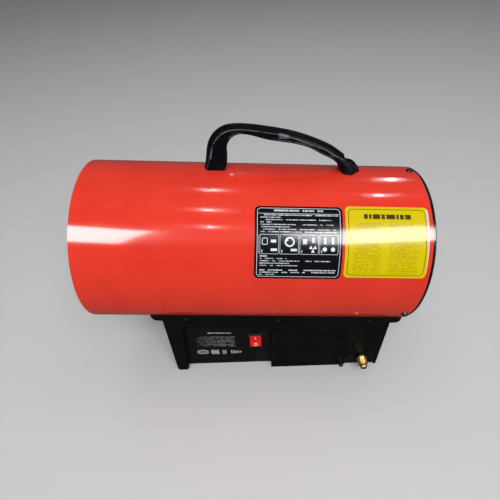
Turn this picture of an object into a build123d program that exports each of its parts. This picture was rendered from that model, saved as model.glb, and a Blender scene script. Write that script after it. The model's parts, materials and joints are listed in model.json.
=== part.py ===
from build123d import *
from math import cos, radians, sin, tan
import os

# Forced-air gas heater. Millimetres, +Z up. The origin is on the floor, under the middle of the barrel.
# +X runs from the hot-air outlet (front) to the fan intake (rear). -Y is the control side (near side).

# ---- driving dimensions ----
barrel_radius = 95.0
barrel_length = 372.0
shell_sheet = 1.0
barrel_tilt = 4.16                 # degrees, front end up
axis_height = 175.75               # of the barrel's middle above the floor

chamber_radius = 70.0
chamber_front = -150.0             # stations run along the barrel from its middle, rear positive
chamber_rear = 28.0
chamber_sheet = 0.8

base_front = -111.3                # X of the base's end faces
base_rear = 171.0
base_half_width = 77.8
base_sheet = 1.2
tray_front = -123.4                # stations of the saddle tray's ends
tray_rear = 192.6
tray_sheet = 1.5
tray_corner = 12.0
lip_bottom = -64.0                 # height of the lip's lower edge, measured from the barrel's axis

barrel_turn = 10.5                 # degrees; the barrel sits turned back by this on its base
handle_width = 18.4
fit_gap = 0.3                      # between pieces that move past each other
running_gap = 0.05                 # radial, shaft in its bearing

# ---- worked-out dimensions and frames ----
tilt = radians(barrel_tilt)
half_length = barrel_length / 2
shell_inner = barrel_radius - shell_sheet
along = Vector(cos(tilt), 0, -sin(tilt))
up = Vector(sin(tilt), 0, cos(tilt))
near = Vector(0, -1, 0)
barrel_middle = Vector(0, 0, axis_height)
barrel_axis = Axis(barrel_middle, along)


def point_at(station, side, height):
    """A point given along the barrel, towards the near side and up from the barrel's axis."""
    return barrel_middle + along * station + near * side + up * height


def cross_plane(station):
    """Square to the barrel's axis: local x is up, local y is the near side."""
    return Plane(origin=point_at(station, 0, 0), x_dir=up, z_dir=along)


def plan_plane(height):
    """Parallel to the barrel's axis and level across: local x is the station, local y the far side."""
    return Plane(origin=point_at(0, 0, height), x_dir=along, z_dir=up)


def outward(angle):
    """The radial direction at an angle above level, measured on the near side."""
    return near * cos(radians(angle)) + up * sin(radians(angle))


def radial_plane(angle):
    """Holds the barrel's axis: local x is the station, local y the distance from the axis."""
    return Plane(origin=barrel_middle, x_dir=along, z_dir=along.cross(outward(angle)))


def skin_plane(station, angle, radius):
    """Touches a barrel-centred cylinder and faces outwards."""
    place = barrel_middle + along * station + outward(angle) * radius
    return Plane(origin=place, x_dir=along, z_dir=outward(angle))


def side_plane(distance):
    """Upright, facing the near side: local x is X, local y is Z."""
    return Plane(origin=(0, -distance, 0), x_dir=(1, 0, 0), z_dir=(0, -1, 0))


def end_plane(x):
    """Upright, facing the rear: local x is Y, local y is Z."""
    return Plane(origin=(x, 0, 0), x_dir=(0, 1, 0), z_dir=(1, 0, 0))


def disc(plane, radius, length, mode=Mode.ADD):
    """A round bar or a round hole that starts on a plane and runs along its normal."""
    with BuildSketch(plane) as face:
        Circle(radius)
    extrude(face.sketch, amount=length, mode=mode)


def ring(plane, outer, inner, length):
    with BuildSketch(plane) as face:
        Circle(outer)
        Circle(inner, mode=Mode.SUBTRACT)
    extrude(face.sketch, amount=length)


def block(plane, width, height, length, corner=0.0, mode=Mode.ADD):
    """A rectangular bar, with rounded long edges where a corner radius is given."""
    with BuildSketch(plane) as face:
        if corner:
            RectangleRounded(width, height, corner)
        else:
            Rectangle(width, height)
    extrude(face.sketch, amount=length, mode=mode)


def hexagon(plane, across_flats, length):
    with BuildSketch(plane) as face:
        RegularPolygon(across_flats / 2, 6, major_radius=False)
    extrude(face.sketch, amount=length)


def pan_screw(plane, head_radius, head_height, shank_radius, shank_length):
    """A domed screw head on a plane, with a cross recess, and its shank behind the plane."""
    with BuildSketch(plane) as face:
        Circle(head_radius)
    extrude(face.sketch, amount=head_height, taper=18)
    with BuildSketch(plane.offset(head_height * 0.45)) as cross:
        Rectangle(head_radius * 1.0, head_radius * 0.28)
        Rectangle(head_radius * 0.28, head_radius * 1.0)
    extrude(cross.sketch, amount=head_height, mode=Mode.SUBTRACT)
    with BuildSketch(plane) as face:
        Circle(shank_radius)
    extrude(face.sketch, amount=-shank_length)


def pipe(points, bends, radius):
    """A round tube or wire along straight runs joined by tangent arcs."""
    with BuildLine() as route:
        FilletPolyline(*points, radius=bends)
    with BuildSketch(Plane(origin=route.line @ 0, z_dir=route.line % 0)) as section:
        Circle(radius)
    sweep(section.sketch, path=route.line)


def cut_by_barrel(radius):
    """Takes away everything inside a barrel-centred cylinder."""
    disc(cross_plane(-barrel_length), radius, 2 * barrel_length, Mode.SUBTRACT)


os.makedirs("parts", exist_ok=True)


def finish(builder, name):
    builder.part.label = name
    export_step(builder.part, f"parts/{name}.step")


# ---- barrel shell ----
hem_width = 7.0
handle_angle = 90.0 + barrel_turn
rear_screw_angles = [handle_angle + 120.0 * number for number in range(3)]
rear_screw_station = 180.0
handle_screw_stations = (-41.0, 108.5)
barrel_screw_places = [(station, angle) for station in (-85.0, 150.0) for angle in (-108.0, -72.0)]
pipe_hole_station = 82.0
pipe_hole_radius = 9.0
small_hole = 2.6
hole_start = 80.0                  # holes through the shell start at this radius
hole_depth = 30.0

with BuildPart() as barrel_shell:
    ring(cross_plane(-half_length), barrel_radius, shell_inner, barrel_length)
    ring(cross_plane(-half_length), barrel_radius, shell_inner - shell_sheet, hem_width)
    for angle in rear_screw_angles:
        disc(skin_plane(rear_screw_station, angle, hole_start), small_hole, hole_depth, Mode.SUBTRACT)
    for station in handle_screw_stations:
        disc(skin_plane(station, handle_angle, hole_start), small_hole, hole_depth, Mode.SUBTRACT)
    for station, angle in barrel_screw_places:
        disc(skin_plane(station, angle, hole_start), small_hole, hole_depth, Mode.SUBTRACT)
    disc(skin_plane(pipe_hole_station, -90, hole_start), pipe_hole_radius, hole_depth, Mode.SUBTRACT)
finish(barrel_shell, "barrel_shell")

# ---- combustion chamber: inner tube with rows of air holes ----
air_hole = 4.0
air_rows = (-6.0, 10.0)
air_holes_in_row = 12
with BuildPart() as combustion_chamber:
    chamber_length = chamber_rear - chamber_front
    ring(cross_plane(chamber_front), chamber_radius, chamber_radius - chamber_sheet, chamber_length)
    for row, station in enumerate(air_rows):
        for number in range(air_holes_in_row):
            angle = 360 / air_holes_in_row * (number + row / 2)
            disc(skin_plane(station, angle, chamber_radius - 5), air_hole, 10, Mode.SUBTRACT)
finish(combustion_chamber, "combustion_chamber")

# ---- chamber brackets: Z-shaped strips between chamber and shell ----
bracket_sheet = 1.2
bracket_foot = 12.0
bracket_arc = 9.0
with BuildPart() as chamber_brackets:
    for station in (-128.0, 2.0):
        for angle in (90, 210, 330):
            with BuildSketch(radial_plane(angle - bracket_arc / 2)) as profile:
                with Locations((station, (chamber_radius + shell_inner) / 2)):
                    Rectangle(bracket_sheet, shell_inner - chamber_radius)
                with Locations((station + bracket_foot / 2, shell_inner - bracket_sheet / 2)):
                    Rectangle(bracket_foot, bracket_sheet)
                with Locations((station - bracket_foot / 2, chamber_radius + bracket_sheet / 2)):
                    Rectangle(bracket_foot, bracket_sheet)
            revolve(profile.sketch, axis=barrel_axis, revolution_arc=-bracket_arc)
finish(chamber_brackets, "chamber_brackets")

# ---- outlet baffle: slotted disc in the chamber's mouth ----
baffle_radius = 52.0
baffle_station = -146.0
with BuildPart() as outlet_baffle:
    with BuildSketch(cross_plane(baffle_station)) as face:
        Circle(baffle_radius)
        for angle in (30, 150, 270):
            with Locations(Rotation(0, 0, angle)):
                with Locations((chamber_radius / 2, 0)):
                    Rectangle(chamber_radius, 10)
        Circle(chamber_radius - chamber_sheet - 0.1, mode=Mode.INTERSECT)
        with PolarLocations(36, 12):
            SlotOverall(16, 5, mode=Mode.SUBTRACT)
        with PolarLocations(18, 8):
            Circle(3, mode=Mode.SUBTRACT)
    extrude(face.sketch, amount=bracket_sheet)
finish(outlet_baffle, "outlet_baffle")


# ---- wire guards at both ends ----
def wire_guard(plane, ring_radii, wire_radius, spokes, spoke_reach, start_angle):
    """Concentric rings on a plane with spokes pressed half into their backs."""
    for radius in ring_radii:
        section_plane = Plane(origin=plane.origin, x_dir=plane.x_dir, z_dir=plane.y_dir)
        with BuildSketch(section_plane) as section:
            with Locations((radius, 0)):
                Circle(wire_radius)
        revolve(section.sketch, axis=Axis(plane.origin, plane.z_dir))
    for number in range(spokes):
        angle = radians(start_angle + 360 / spokes * number)
        direction = plane.x_dir * cos(angle) + plane.y_dir * sin(angle)
        inner_end = ring_radii[0] - wire_radius
        start = plane.origin + plane.z_dir * wire_radius * 1.5 + direction * inner_end
        disc(Plane(origin=start, z_dir=direction), wire_radius * 1.1, spoke_reach - inner_end)


guard_wire = 1.3
guard_spokes = 6
outlet_guard_depth = 12.0
outlet_guard_rings = (16.0, 32.0, 48.0, 64.0, 80.0)
with BuildPart() as outlet_guard:
    outlet_guard_plane = cross_plane(-half_length + outlet_guard_depth)
    wire_guard(outlet_guard_plane, outlet_guard_rings, guard_wire, guard_spokes, shell_inner - 0.4, 30)
finish(outlet_guard, "outlet_guard")

hoop_sheet = 1.6
hoop_depth = 12.0
rim_stand = 3.8                    # the painted rim stands this far beyond the shell
rim_depth = 3.2
rim_bend = 1.5
hoop_outer = shell_inner - 0.1
with BuildPart() as rear_trim_hoop:
    ring(cross_plane(half_length - hoop_depth), hoop_outer, hoop_outer - hoop_sheet, hoop_depth + 0.5)
    ring(cross_plane(half_length), barrel_radius, barrel_radius - rim_depth, rim_stand)
    outer_rims = rear_trim_hoop.edges().filter_by(GeomType.CIRCLE).group_by(SortBy.RADIUS)[-1]
    fillet(outer_rims.sort_by(barrel_axis)[-1], radius=rim_bend)
    for angle in rear_screw_angles:
        disc(skin_plane(rear_screw_station, angle, hole_start), small_hole, hole_depth, Mode.SUBTRACT)
finish(rear_trim_hoop, "rear_trim_hoop")

guard_reach = barrel_radius - rim_depth - 0.1
with BuildPart() as fan_guard:
    guard_rings = [12.0 + 11.0 * number for number in range(8)]
    wire_guard(cross_plane(half_length - 1.4), guard_rings, guard_wire, guard_spokes, guard_reach - 0.9, 10)
finish(fan_guard, "fan_guard")

# ---- burner: plate, cup, bracket, jet, electrode, thermocouple ----
burner_radius = 30.0
plate_station = 24.0
probe_radius = 45.0
probe_angles = {"electrode": 60, "thermocouple": 120}
with BuildPart() as burner_plate:
    with BuildSketch(cross_plane(plate_station)) as face:
        Circle(chamber_radius - chamber_sheet - 0.1)
        Circle(burner_radius + 0.1, mode=Mode.SUBTRACT)
        with PolarLocations(50, 12, start_angle=15):
            SlotOverall(22, 5, mode=Mode.SUBTRACT)
        with PolarLocations(probe_radius, 2, start_angle=-30, angular_range=60, endpoint=True):
            Circle(3.7, mode=Mode.SUBTRACT)
    extrude(face.sketch, amount=bracket_sheet)
finish(burner_plate, "burner_plate")

cup_front = 16.0
cup_rear = 50.0
cup_wall = 1.5
jet_radius = 5.0
# Each end of the cup: its station, the radius of its holes, their number and the circle they lie on.
cup_ends = ((cup_front, 2.2, 10, 20), (cup_rear - cup_wall, 3.5, 6, 18))
with BuildPart() as burner_cup:
    ring(cross_plane(cup_front), burner_radius, burner_radius - cup_wall, cup_rear - cup_front)
    for station, hole_radius, holes, circle in cup_ends:
        with BuildSketch(cross_plane(station)) as face:
            Circle(burner_radius)
            Circle(jet_radius + 0.1, mode=Mode.SUBTRACT)
            with PolarLocations(circle, holes):
                Circle(hole_radius, mode=Mode.SUBTRACT)
        extrude(face.sketch, amount=cup_wall)
finish(burner_cup, "burner_cup")

with BuildPart() as burner_bracket:
    strip_station = cup_rear + bracket_sheet / 2
    with BuildSketch(cross_plane(cup_rear)) as face:
        Rectangle(22, 2 * shell_inner)
        Circle(shell_inner, mode=Mode.INTERSECT)
        Circle(jet_radius + 0.1, mode=Mode.SUBTRACT)
    extrude(face.sketch, amount=bracket_sheet)
    for angle in (0, 180):
        with BuildSketch(radial_plane(angle - 6)) as foot:
            with Locations((strip_station + 7, shell_inner - bracket_sheet / 2)):
                Rectangle(14, bracket_sheet)
        revolve(foot.sketch, axis=barrel_axis, revolution_arc=-12)
finish(burner_bracket, "burner_bracket")

jet_front = 42.0
jet_rear = 66.0
with BuildPart() as gas_jet:
    disc(cross_plane(jet_front), jet_radius, jet_rear - jet_front)
    hexagon(cross_plane(cup_rear + bracket_sheet), 13, 8)
    disc(cross_plane(jet_front), 0.8, 20, Mode.SUBTRACT)
finish(gas_jet, "gas_jet")

with BuildPart() as spark_electrode:
    probe_middle = barrel_middle + outward(probe_angles["electrode"]) * probe_radius
    disc(Plane(origin=probe_middle + along * 12, z_dir=along), 3.5, 34)
    disc(Plane(origin=probe_middle + along * 26, z_dir=along), 5.5, 5)
finish(spark_electrode, "spark_electrode")

with BuildPart() as electrode_rod:
    rod_start = probe_middle + along * 12
    rod_tip = rod_start - along * 20 - outward(probe_angles["electrode"]) * 12
    pipe([rod_start, rod_start - along * 12, rod_tip], [4], 0.9)
finish(electrode_rod, "electrode_rod")

with BuildPart() as thermocouple:
    probe_middle = barrel_middle + outward(probe_angles["thermocouple"]) * probe_radius
    disc(Plane(origin=probe_middle - along * 4, z_dir=along), 2.2, 44)
    disc(Plane(origin=probe_middle + along * 26, z_dir=along), 5.0, 8)
    disc(Plane(origin=probe_middle - along * 8, z_dir=along), 1.6, 4)
finish(thermocouple, "thermocouple")

# ---- fan, motor and motor bracket ----
motor_radius = 29.0
motor_front = 132.0
motor_rear = 168.0
shaft_radius = 4.0
shaft_front = 86.0
shaft_rear = 158.0
hub_front = 97.0
hub_rear = 117.0
hub_radius = 14.0
blade_count = 5
blade_reach = 85.0
blade_pitch = 32.0
blade_chord = 46.0
blade_sheet = 1.4

with BuildPart() as fan_motor:
    disc(cross_plane(motor_front), motor_radius, motor_rear - motor_front)
    fillet(fan_motor.edges().filter_by(GeomType.CIRCLE).sort_by(barrel_axis)[0], radius=4)
    disc(cross_plane(motor_front - 4), 10, 5)
    bore_length = shaft_rear - motor_front + 6
    disc(cross_plane(motor_front - 4), shaft_radius + running_gap, bore_length, Mode.SUBTRACT)
    for number in range(10):
        slot = skin_plane((motor_front + motor_rear) / 2, 36 * number + 18, motor_radius - 2)
        block(slot, 18, 3, 5, mode=Mode.SUBTRACT)
finish(fan_motor, "fan_motor")

bracket_plane_station = motor_rear
foot_radius = shell_inner - 0.2 - hoop_sheet
with BuildPart() as motor_bracket:
    with BuildSketch(cross_plane(bracket_plane_station)) as face:
        Circle(motor_radius - 2)
        for angle in rear_screw_angles:
            # Local x is up and local y is the near side, so a barrel angle is measured back from local y.
            with Locations(Rotation(0, 0, 90 - angle)):
                with Locations((foot_radius / 2, 0)):
                    Rectangle(foot_radius, 15)
        Circle(foot_radius, mode=Mode.INTERSECT)
        Circle(11, mode=Mode.SUBTRACT)
    extrude(face.sketch, amount=bracket_sheet)
    for angle in rear_screw_angles:
        with BuildSketch(radial_plane(angle - 4.7)) as foot:
            with Locations((bracket_plane_station + 9, foot_radius - bracket_sheet / 2)):
                Rectangle(18, bracket_sheet)
        revolve(foot.sketch, axis=barrel_axis, revolution_arc=-9.4)
    for angle in rear_screw_angles:
        disc(skin_plane(rear_screw_station, angle, hole_start), small_hole, hole_depth, Mode.SUBTRACT)
finish(motor_bracket, "motor_bracket")

with BuildPart() as motor_end_cap:
    disc(cross_plane(motor_rear + bracket_sheet), 24, 5)
    fillet(motor_end_cap.edges().filter_by(GeomType.CIRCLE).sort_by(barrel_axis)[-1], radius=3)
    disc(cross_plane(motor_rear + bracket_sheet), 8, 8)
finish(motor_end_cap, "motor_end_cap")

with BuildPart() as motor_shaft:
    disc(cross_plane(shaft_front), shaft_radius, shaft_rear - shaft_front)
finish(motor_shaft, "motor_shaft")

with BuildPart() as fan:
    hub_middle = (hub_front + hub_rear) / 2
    ring(cross_plane(hub_front), hub_radius, shaft_radius, hub_rear - hub_front)
    for number in range(blade_count):
        angle = 360 / blade_count * number
        radial = outward(angle)
        tangent = along.cross(radial)
        chord = along * sin(radians(blade_pitch)) + tangent * cos(radians(blade_pitch))
        blade_plane = Plane(origin=point_at(hub_middle, 0, 0), x_dir=radial, z_dir=radial.cross(chord))
        with BuildSketch(blade_plane.offset(-blade_sheet / 2)) as blade:
            with BuildLine():
                Polyline(
                    (hub_radius - 3, -blade_chord * 0.28),
                    (blade_reach + 3, -blade_chord * 0.5),
                    (blade_reach + 3, blade_chord * 0.5),
                    (hub_radius - 3, blade_chord * 0.28),
                    close=True,
                )
            make_face()
            fillet(blade.vertices().sort_by(Axis.X)[-2:], radius=14)
        extrude(blade.sketch, amount=blade_sheet)
finish(fan, "fan")

with BuildPart() as fan_nut:
    hexagon(cross_plane(hub_front - 5.5), 13, 5.5)
    disc(cross_plane(hub_front - 6), shaft_radius, 7, Mode.SUBTRACT)
finish(fan_nut, "fan_nut")

# ---- handle: D-section lofted between the crown and the underside ----
handle_edge = 3.2
handle_buried = 86.0               # height where both lines end, inside the barrel
flare_start = 0.78                 # share of the way from the front foot to the rear foot's tip
flare_width = 11.0                 # the rear foot ends wider by this on each side
# Height of the crown above the two side ridges, section by section from the front foot to the rear foot.
crown_rises = (4.0, 4.3, 5.2, 6.6, 7.0, 6.8, 6.2, 5.6, 5.3, 6.2, 7.4, 8.3, 9.0, 9.8, 10.4, 10.8, 11.0)
seat_station = 100.8               # the flat seat of the rear screw starts here
seat_height = 106.2
seat_bore = 3.2
seat_sink = 2.5
# The rear foot's plan, as stations with half widths: it flares out and then narrows to a blunt nose.
foot_plan = ((97.5, 9.6), (108.0, 16.2), (122.2, 1.5))
handle_screw_radius = 2.0
handle_across = outward(barrel_turn)
with BuildLine(radial_plane(handle_angle)) as crown:
    Spline(
        (-53.4, handle_buried),
        (-52.6, 107.0),
        (-48.6, 126.2),
        (-36.6, 139.4),
        (-18.0, 143.6),
        (11.4, 141.9),
        (46.8, 136.4),
        (71.4, 128.9),
        (96.0, 117.2),
        (111.3, 106.6),
        (121.8, 94.6),
        (128.0, handle_buried),
        tangents=((0.02, 1), (1, -1.35)),
    )
with BuildLine(radial_plane(handle_angle)) as underside:
    Spline(
        (-29.8, handle_buried),
        (-29.2, 112.0),
        (-25.8, 128.8),
        (-14.0, 133.8),
        (9.0, 130.0),
        (40.7, 125.8),
        (64.8, 119.4),
        (84.1, 110.2),
        (99.5, 95.0),
        (106.0, handle_buried),
        tangents=((0.0, 1), (1, -1.1)),
    )

with BuildPart() as handle:
    for number, rise in enumerate(crown_rises):
        share = number / (len(crown_rises) - 1)
        half = handle_width / 2 + flare_width * max(0, (share - flare_start) / (1 - flare_start)) ** 2
        top = crown.line @ share
        span = top - underside.line @ share
        low = -span.length
        with BuildSketch(Plane(origin=top, x_dir=handle_across, z_dir=handle_across.cross(span))):
            with BuildLine():
                ThreePointArc((-half, -rise), (0, 0), (half, -rise))
                Line((half, -rise), (half, low + handle_edge))
                RadiusArc((half, low + handle_edge), (half - handle_edge, low), handle_edge)
                Line((half - handle_edge, low), (handle_edge - half, low))
                RadiusArc((handle_edge - half, low), (-half, low + handle_edge), handle_edge)
                Line((-half, low + handle_edge), (-half, -rise))
            make_face()
    loft()
    seat = skin_plane(0, handle_angle, seat_height)
    with BuildSketch(seat) as above_seat:
        with Locations((seat_station + barrel_radius / 2, 0)):
            Rectangle(barrel_radius, barrel_radius)
    extrude(above_seat.sketch, amount=barrel_radius, mode=Mode.SUBTRACT)
    with BuildSketch(seat) as beside_nose:
        for side in (1, -1):
            outline = [(station, side * half_width) for station, half_width in foot_plan]
            Polygon(
                *outline,
                (foot_plan[-1][0], 0),
                (barrel_length, 0),
                (barrel_length, side * barrel_radius),
                (foot_plan[0][0], side * barrel_radius),
                align=None,
            )
    extrude(beside_nose.sketch, amount=barrel_radius / 2, both=True, mode=Mode.SUBTRACT)
    sunk_seat = skin_plane(handle_screw_stations[1], handle_angle, seat_height - seat_sink)
    disc(sunk_seat, seat_bore, seat_height - barrel_radius, Mode.SUBTRACT)
    cut_by_barrel(barrel_radius)
    for station in handle_screw_stations:
        bore = skin_plane(station, handle_angle, shell_inner)
        disc(bore, handle_screw_radius + running_gap, 11, Mode.SUBTRACT)
finish(handle, "handle")


def inner_skin_plane(station, angle):
    """Touches the inside of the shell and faces the barrel's axis."""
    place = barrel_middle + along * station + outward(angle) * (shell_inner - 0.15)
    return Plane(origin=place, x_dir=along, z_dir=-outward(angle))


with BuildPart() as handle_screws:
    for station in handle_screw_stations:
        pan_screw(inner_skin_plane(station, handle_angle), 4.0, 2.6, handle_screw_radius, 11)
finish(handle_screws, "handle_screws")

with BuildPart() as rear_screws:
    for angle in rear_screw_angles:
        pan_screw(skin_plane(rear_screw_station, angle, barrel_radius + 0.05), 3.85, 2.4, 2.0, 7)
finish(rear_screws, "rear_screws")

# ---- labels: thin rounded sheets on the near side of the shell ----
label_sheet = 0.3
label_corner = 5.0
# Each label: the stations of its ends, then the angles of its low and high edges.
front_label_edges = (1.2, 91.6, 16.5, 62.9)
rear_label_edges = (94.4, 181.8, 17.7, 63.7)


def barrel_label(start, end, low_angle, high_angle):
    middle_angle = (low_angle + high_angle) / 2
    width = 2 * barrel_radius * sin(radians((high_angle - low_angle) / 2))
    ring(cross_plane(start), barrel_radius + 0.02 + label_sheet, barrel_radius + 0.02, end - start)
    with BuildSketch(skin_plane((start + end) / 2, middle_angle, barrel_radius / 2)) as face:
        RectangleRounded(end - start, width, label_corner)
    extrude(face.sketch, amount=barrel_radius, mode=Mode.INTERSECT)


with BuildPart() as front_label:
    barrel_label(*front_label_edges)
finish(front_label, "front_label")

with BuildPart() as rear_label:
    barrel_label(*rear_label_edges)
finish(rear_label, "rear_label")

# ---- saddle tray: curved sheet under the barrel with a turned-down lip ----
saddle_inner = barrel_radius + 0.1
saddle_outer = saddle_inner + tray_sheet
tray_half_width = base_half_width + tray_sheet
saddle_low = -98.0
saddle_top = -38.0
lip_screw_height = -61.3
lip_screw_middle = 35.5
lip_screw_pitch = 112.75
lip_screw_stations = [lip_screw_middle + lip_screw_pitch * number for number in (-1, 0, 1)]


def tray_plan(height, inset, length):
    """A slab of the tray's rounded plan, from a height upwards."""
    with BuildSketch(plan_plane(height)) as face:
        with Locations(((tray_front + tray_rear) / 2, 0)):
            RectangleRounded(
                tray_rear - tray_front - 2 * inset, 2 * (tray_half_width - inset), tray_corner - inset
            )
    extrude(face.sketch, amount=length)


def lip_screw_holes():
    for station in lip_screw_stations:
        start = point_at(station, -90, lip_screw_height)
        disc(Plane(origin=start, x_dir=along, z_dir=near), 1.6, 180, Mode.SUBTRACT)


with BuildPart() as tray_hollow:
    tray_plan(saddle_low, -1, lip_bottom - saddle_low)
    tray_plan(saddle_low, tray_sheet, saddle_top - saddle_low)
    cut_by_barrel(saddle_outer)

with BuildPart() as saddle_tray:
    tray_plan(saddle_low, 0, saddle_top - saddle_low)
    cut_by_barrel(saddle_inner)
    add(tray_hollow.part, mode=Mode.SUBTRACT)
    for station, angle in barrel_screw_places:
        disc(skin_plane(station, angle, hole_start), small_hole, hole_depth, Mode.SUBTRACT)
    disc(skin_plane(pipe_hole_station, -90, hole_start), pipe_hole_radius, hole_depth, Mode.SUBTRACT)
    disc(skin_plane(rear_screw_station, rear_screw_angles[1], 85), 5.0, 25, Mode.SUBTRACT)
    lip_screw_holes()
finish(saddle_tray, "saddle_tray")

with BuildPart() as tray_screws:
    for station in lip_screw_stations:
        for side in (1, -1):
            head = point_at(station, side * (tray_half_width + 0.02), lip_screw_height)
            pan_screw(Plane(origin=head, x_dir=along, z_dir=near * side), 2.7, 1.7, 1.5, 3.4)
finish(tray_screws, "tray_screws")

with BuildPart() as barrel_screws:
    for station, angle in barrel_screw_places:
        pan_screw(inner_skin_plane(station, angle), 4.0, 2.4, 2.0, 8)
finish(barrel_screws, "barrel_screws")

with BuildPart() as barrel_nuts:
    for station, angle in barrel_screw_places:
        nut_plane = skin_plane(station, angle, saddle_outer + 0.05)
        hexagon(nut_plane, 7, 3.2)
        disc(nut_plane, 2.02, 3.2, Mode.SUBTRACT)
finish(barrel_nuts, "barrel_nuts")

# ---- base: side plates, recessed panel, end plates, pan ----
window_front_low = -95.9           # X of the leg's inner edge at the floor
window_front_high = -90.6          # and at the window's top
window_rear = 22.5
window_top_rear = 93.2             # Z of the window's top at its rear corner; it runs parallel to the barrel
window_corner = 4.0
panel_bottom = 4.5
panel_setback = 7.5
plate_cut = saddle_outer + 0.2     # the base's sheets stop this close to the saddle
foot_corner = 5.0
notch_x = 147.0
notch_radius = 21.0
notch_middle = 10.0
inlet_x = 148.0
inlet_z = 19.0
button_x = 117.5


def window_outline(grow, bottom, mode=Mode.ADD):
    """The window's outline in a side plane, grown sideways and upwards."""
    top_front = window_top_rear + (window_rear - window_front_high) * tan(tilt)
    lean = (window_front_high - window_front_low) / top_front
    Polygon(
        (window_front_low + lean * bottom - grow, bottom),
        (window_rear + grow, bottom),
        (window_rear + grow, window_top_rear + grow),
        (window_front_high - grow, top_front + grow),
        align=None,
        mode=mode,
    )


def side_sheet():
    """The side plate's full outline in a side plane, taller than the saddle."""
    Polygon(
        (base_front, 0),
        (base_rear, 0),
        (base_rear, axis_height - base_rear * tan(tilt) - 50),
        (base_front, axis_height - base_front * tan(tilt) - 50),
        align=None,
    )


with BuildPart() as near_side_plate:
    with BuildSketch(side_plane(base_half_width)) as face:
        side_sheet()
        window_outline(0, -1, Mode.SUBTRACT)
        low, high = window_top_rear - 1, window_top_rear + 10
        fillet(face.vertices().filter_by_position(Axis.Y, low, high), radius=window_corner)
        with Locations((notch_x, notch_middle)):
            Circle(notch_radius, mode=Mode.SUBTRACT)
        with Locations((notch_x, notch_middle / 2 - 1)):
            Rectangle(2 * notch_radius, notch_middle + 2, mode=Mode.SUBTRACT)
        with Locations((button_x, inlet_z)):
            Circle(3.4, mode=Mode.SUBTRACT)
        feet = face.vertices().filter_by_position(Axis.Y, -0.1, 0.1).sort_by(Axis.X)
        fillet(feet[:2], radius=foot_corner)
    extrude(face.sketch, amount=-base_sheet)
    cut_by_barrel(plate_cut)
    lip_screw_holes()
finish(near_side_plate, "near_side_plate")

with BuildPart() as far_side_plate:
    with BuildSketch(side_plane(-base_half_width)) as face:
        side_sheet()
        with Locations((30, 55)):
            with GridLocations(14, 30, 9, 2):
                SlotOverall(20, 3.5, rotation=90, mode=Mode.SUBTRACT)
        feet = face.vertices().filter_by_position(Axis.Y, -0.1, 0.1).sort_by(Axis.X)
        fillet(feet, radius=foot_corner)
    extrude(face.sketch, amount=base_sheet)
    cut_by_barrel(plate_cut)
    lip_screw_holes()
finish(far_side_plate, "far_side_plate")

# The recessed panel: a flange behind the window, side walls and the panel itself, open below.
switch_x = 1.6
switch_z = 59.5
switch_body_width = 17.6
switch_body_height = 26.6
flange_reach = 6.0
panel_face = base_half_width - panel_setback
with BuildPart() as control_panel:
    for distance, grow, length in (
        (base_half_width - base_sheet, flange_reach, base_sheet),
        (base_half_width - base_sheet, base_sheet, panel_setback),
    ):
        with BuildSketch(side_plane(distance)) as face:
            window_outline(grow, panel_bottom)
            fillet(face.vertices().sort_by(Axis.Y)[-2:], radius=window_corner + grow)
        extrude(face.sketch, amount=-length)
    with BuildSketch(side_plane(base_half_width)) as face:
        window_outline(0, 0)
        fillet(face.vertices().sort_by(Axis.Y)[-2:], radius=window_corner)
    extrude(face.sketch, amount=-panel_setback, mode=Mode.SUBTRACT)
    with BuildSketch(side_plane(base_half_width)) as face:
        with Locations((switch_x, switch_z)):
            Rectangle(switch_body_width + 0.2, switch_body_height + 0.2)
    extrude(face.sketch, amount=-20, mode=Mode.SUBTRACT)
finish(control_panel, "control_panel")

# ---- end plates with turned-in flanges ----
end_gap = 0.1
inner_half_width = base_half_width - base_sheet - end_gap
flange_width = 8.0
flange_low = 40.0
piezo_y = -38.0
piezo_z = 52.0
gland_y = 35.0
gland_z = 38.0


def end_plate(x, inward):
    """An upright sheet across the base with a flange at each side, its top arched round the saddle."""
    with BuildSketch(end_plane(x)) as face:
        with Locations((0, axis_height / 2)):
            Rectangle(2 * inner_half_width, axis_height)
    extrude(face.sketch, amount=inward * base_sheet)
    for side in (1, -1):
        with BuildSketch(end_plane(x)) as flange:
            with Locations((side * (inner_half_width - base_sheet / 2), (flange_low + axis_height) / 2)):
                Rectangle(base_sheet, axis_height - flange_low)
        extrude(flange.sketch, amount=inward * (base_sheet + flange_width))
    cut_by_barrel(plate_cut)
    with BuildSketch(plan_plane(-50)) as above:
        Rectangle(4 * barrel_length, 4 * barrel_radius)
    extrude(above.sketch, amount=barrel_length, mode=Mode.SUBTRACT)


with BuildPart() as front_end_plate:
    end_plate(base_front, 1)
finish(front_end_plate, "front_end_plate")

with BuildPart() as rear_end_plate:
    end_plate(base_rear, -1)
    with BuildSketch(end_plane(base_rear - 10)) as holes:
        with Locations((piezo_y, piezo_z)):
            Circle(8.2)
        with Locations((gland_y, gland_z)):
            Circle(6.2)
    extrude(holes.sketch, amount=20, mode=Mode.SUBTRACT)
finish(rear_end_plate, "rear_end_plate")

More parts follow.
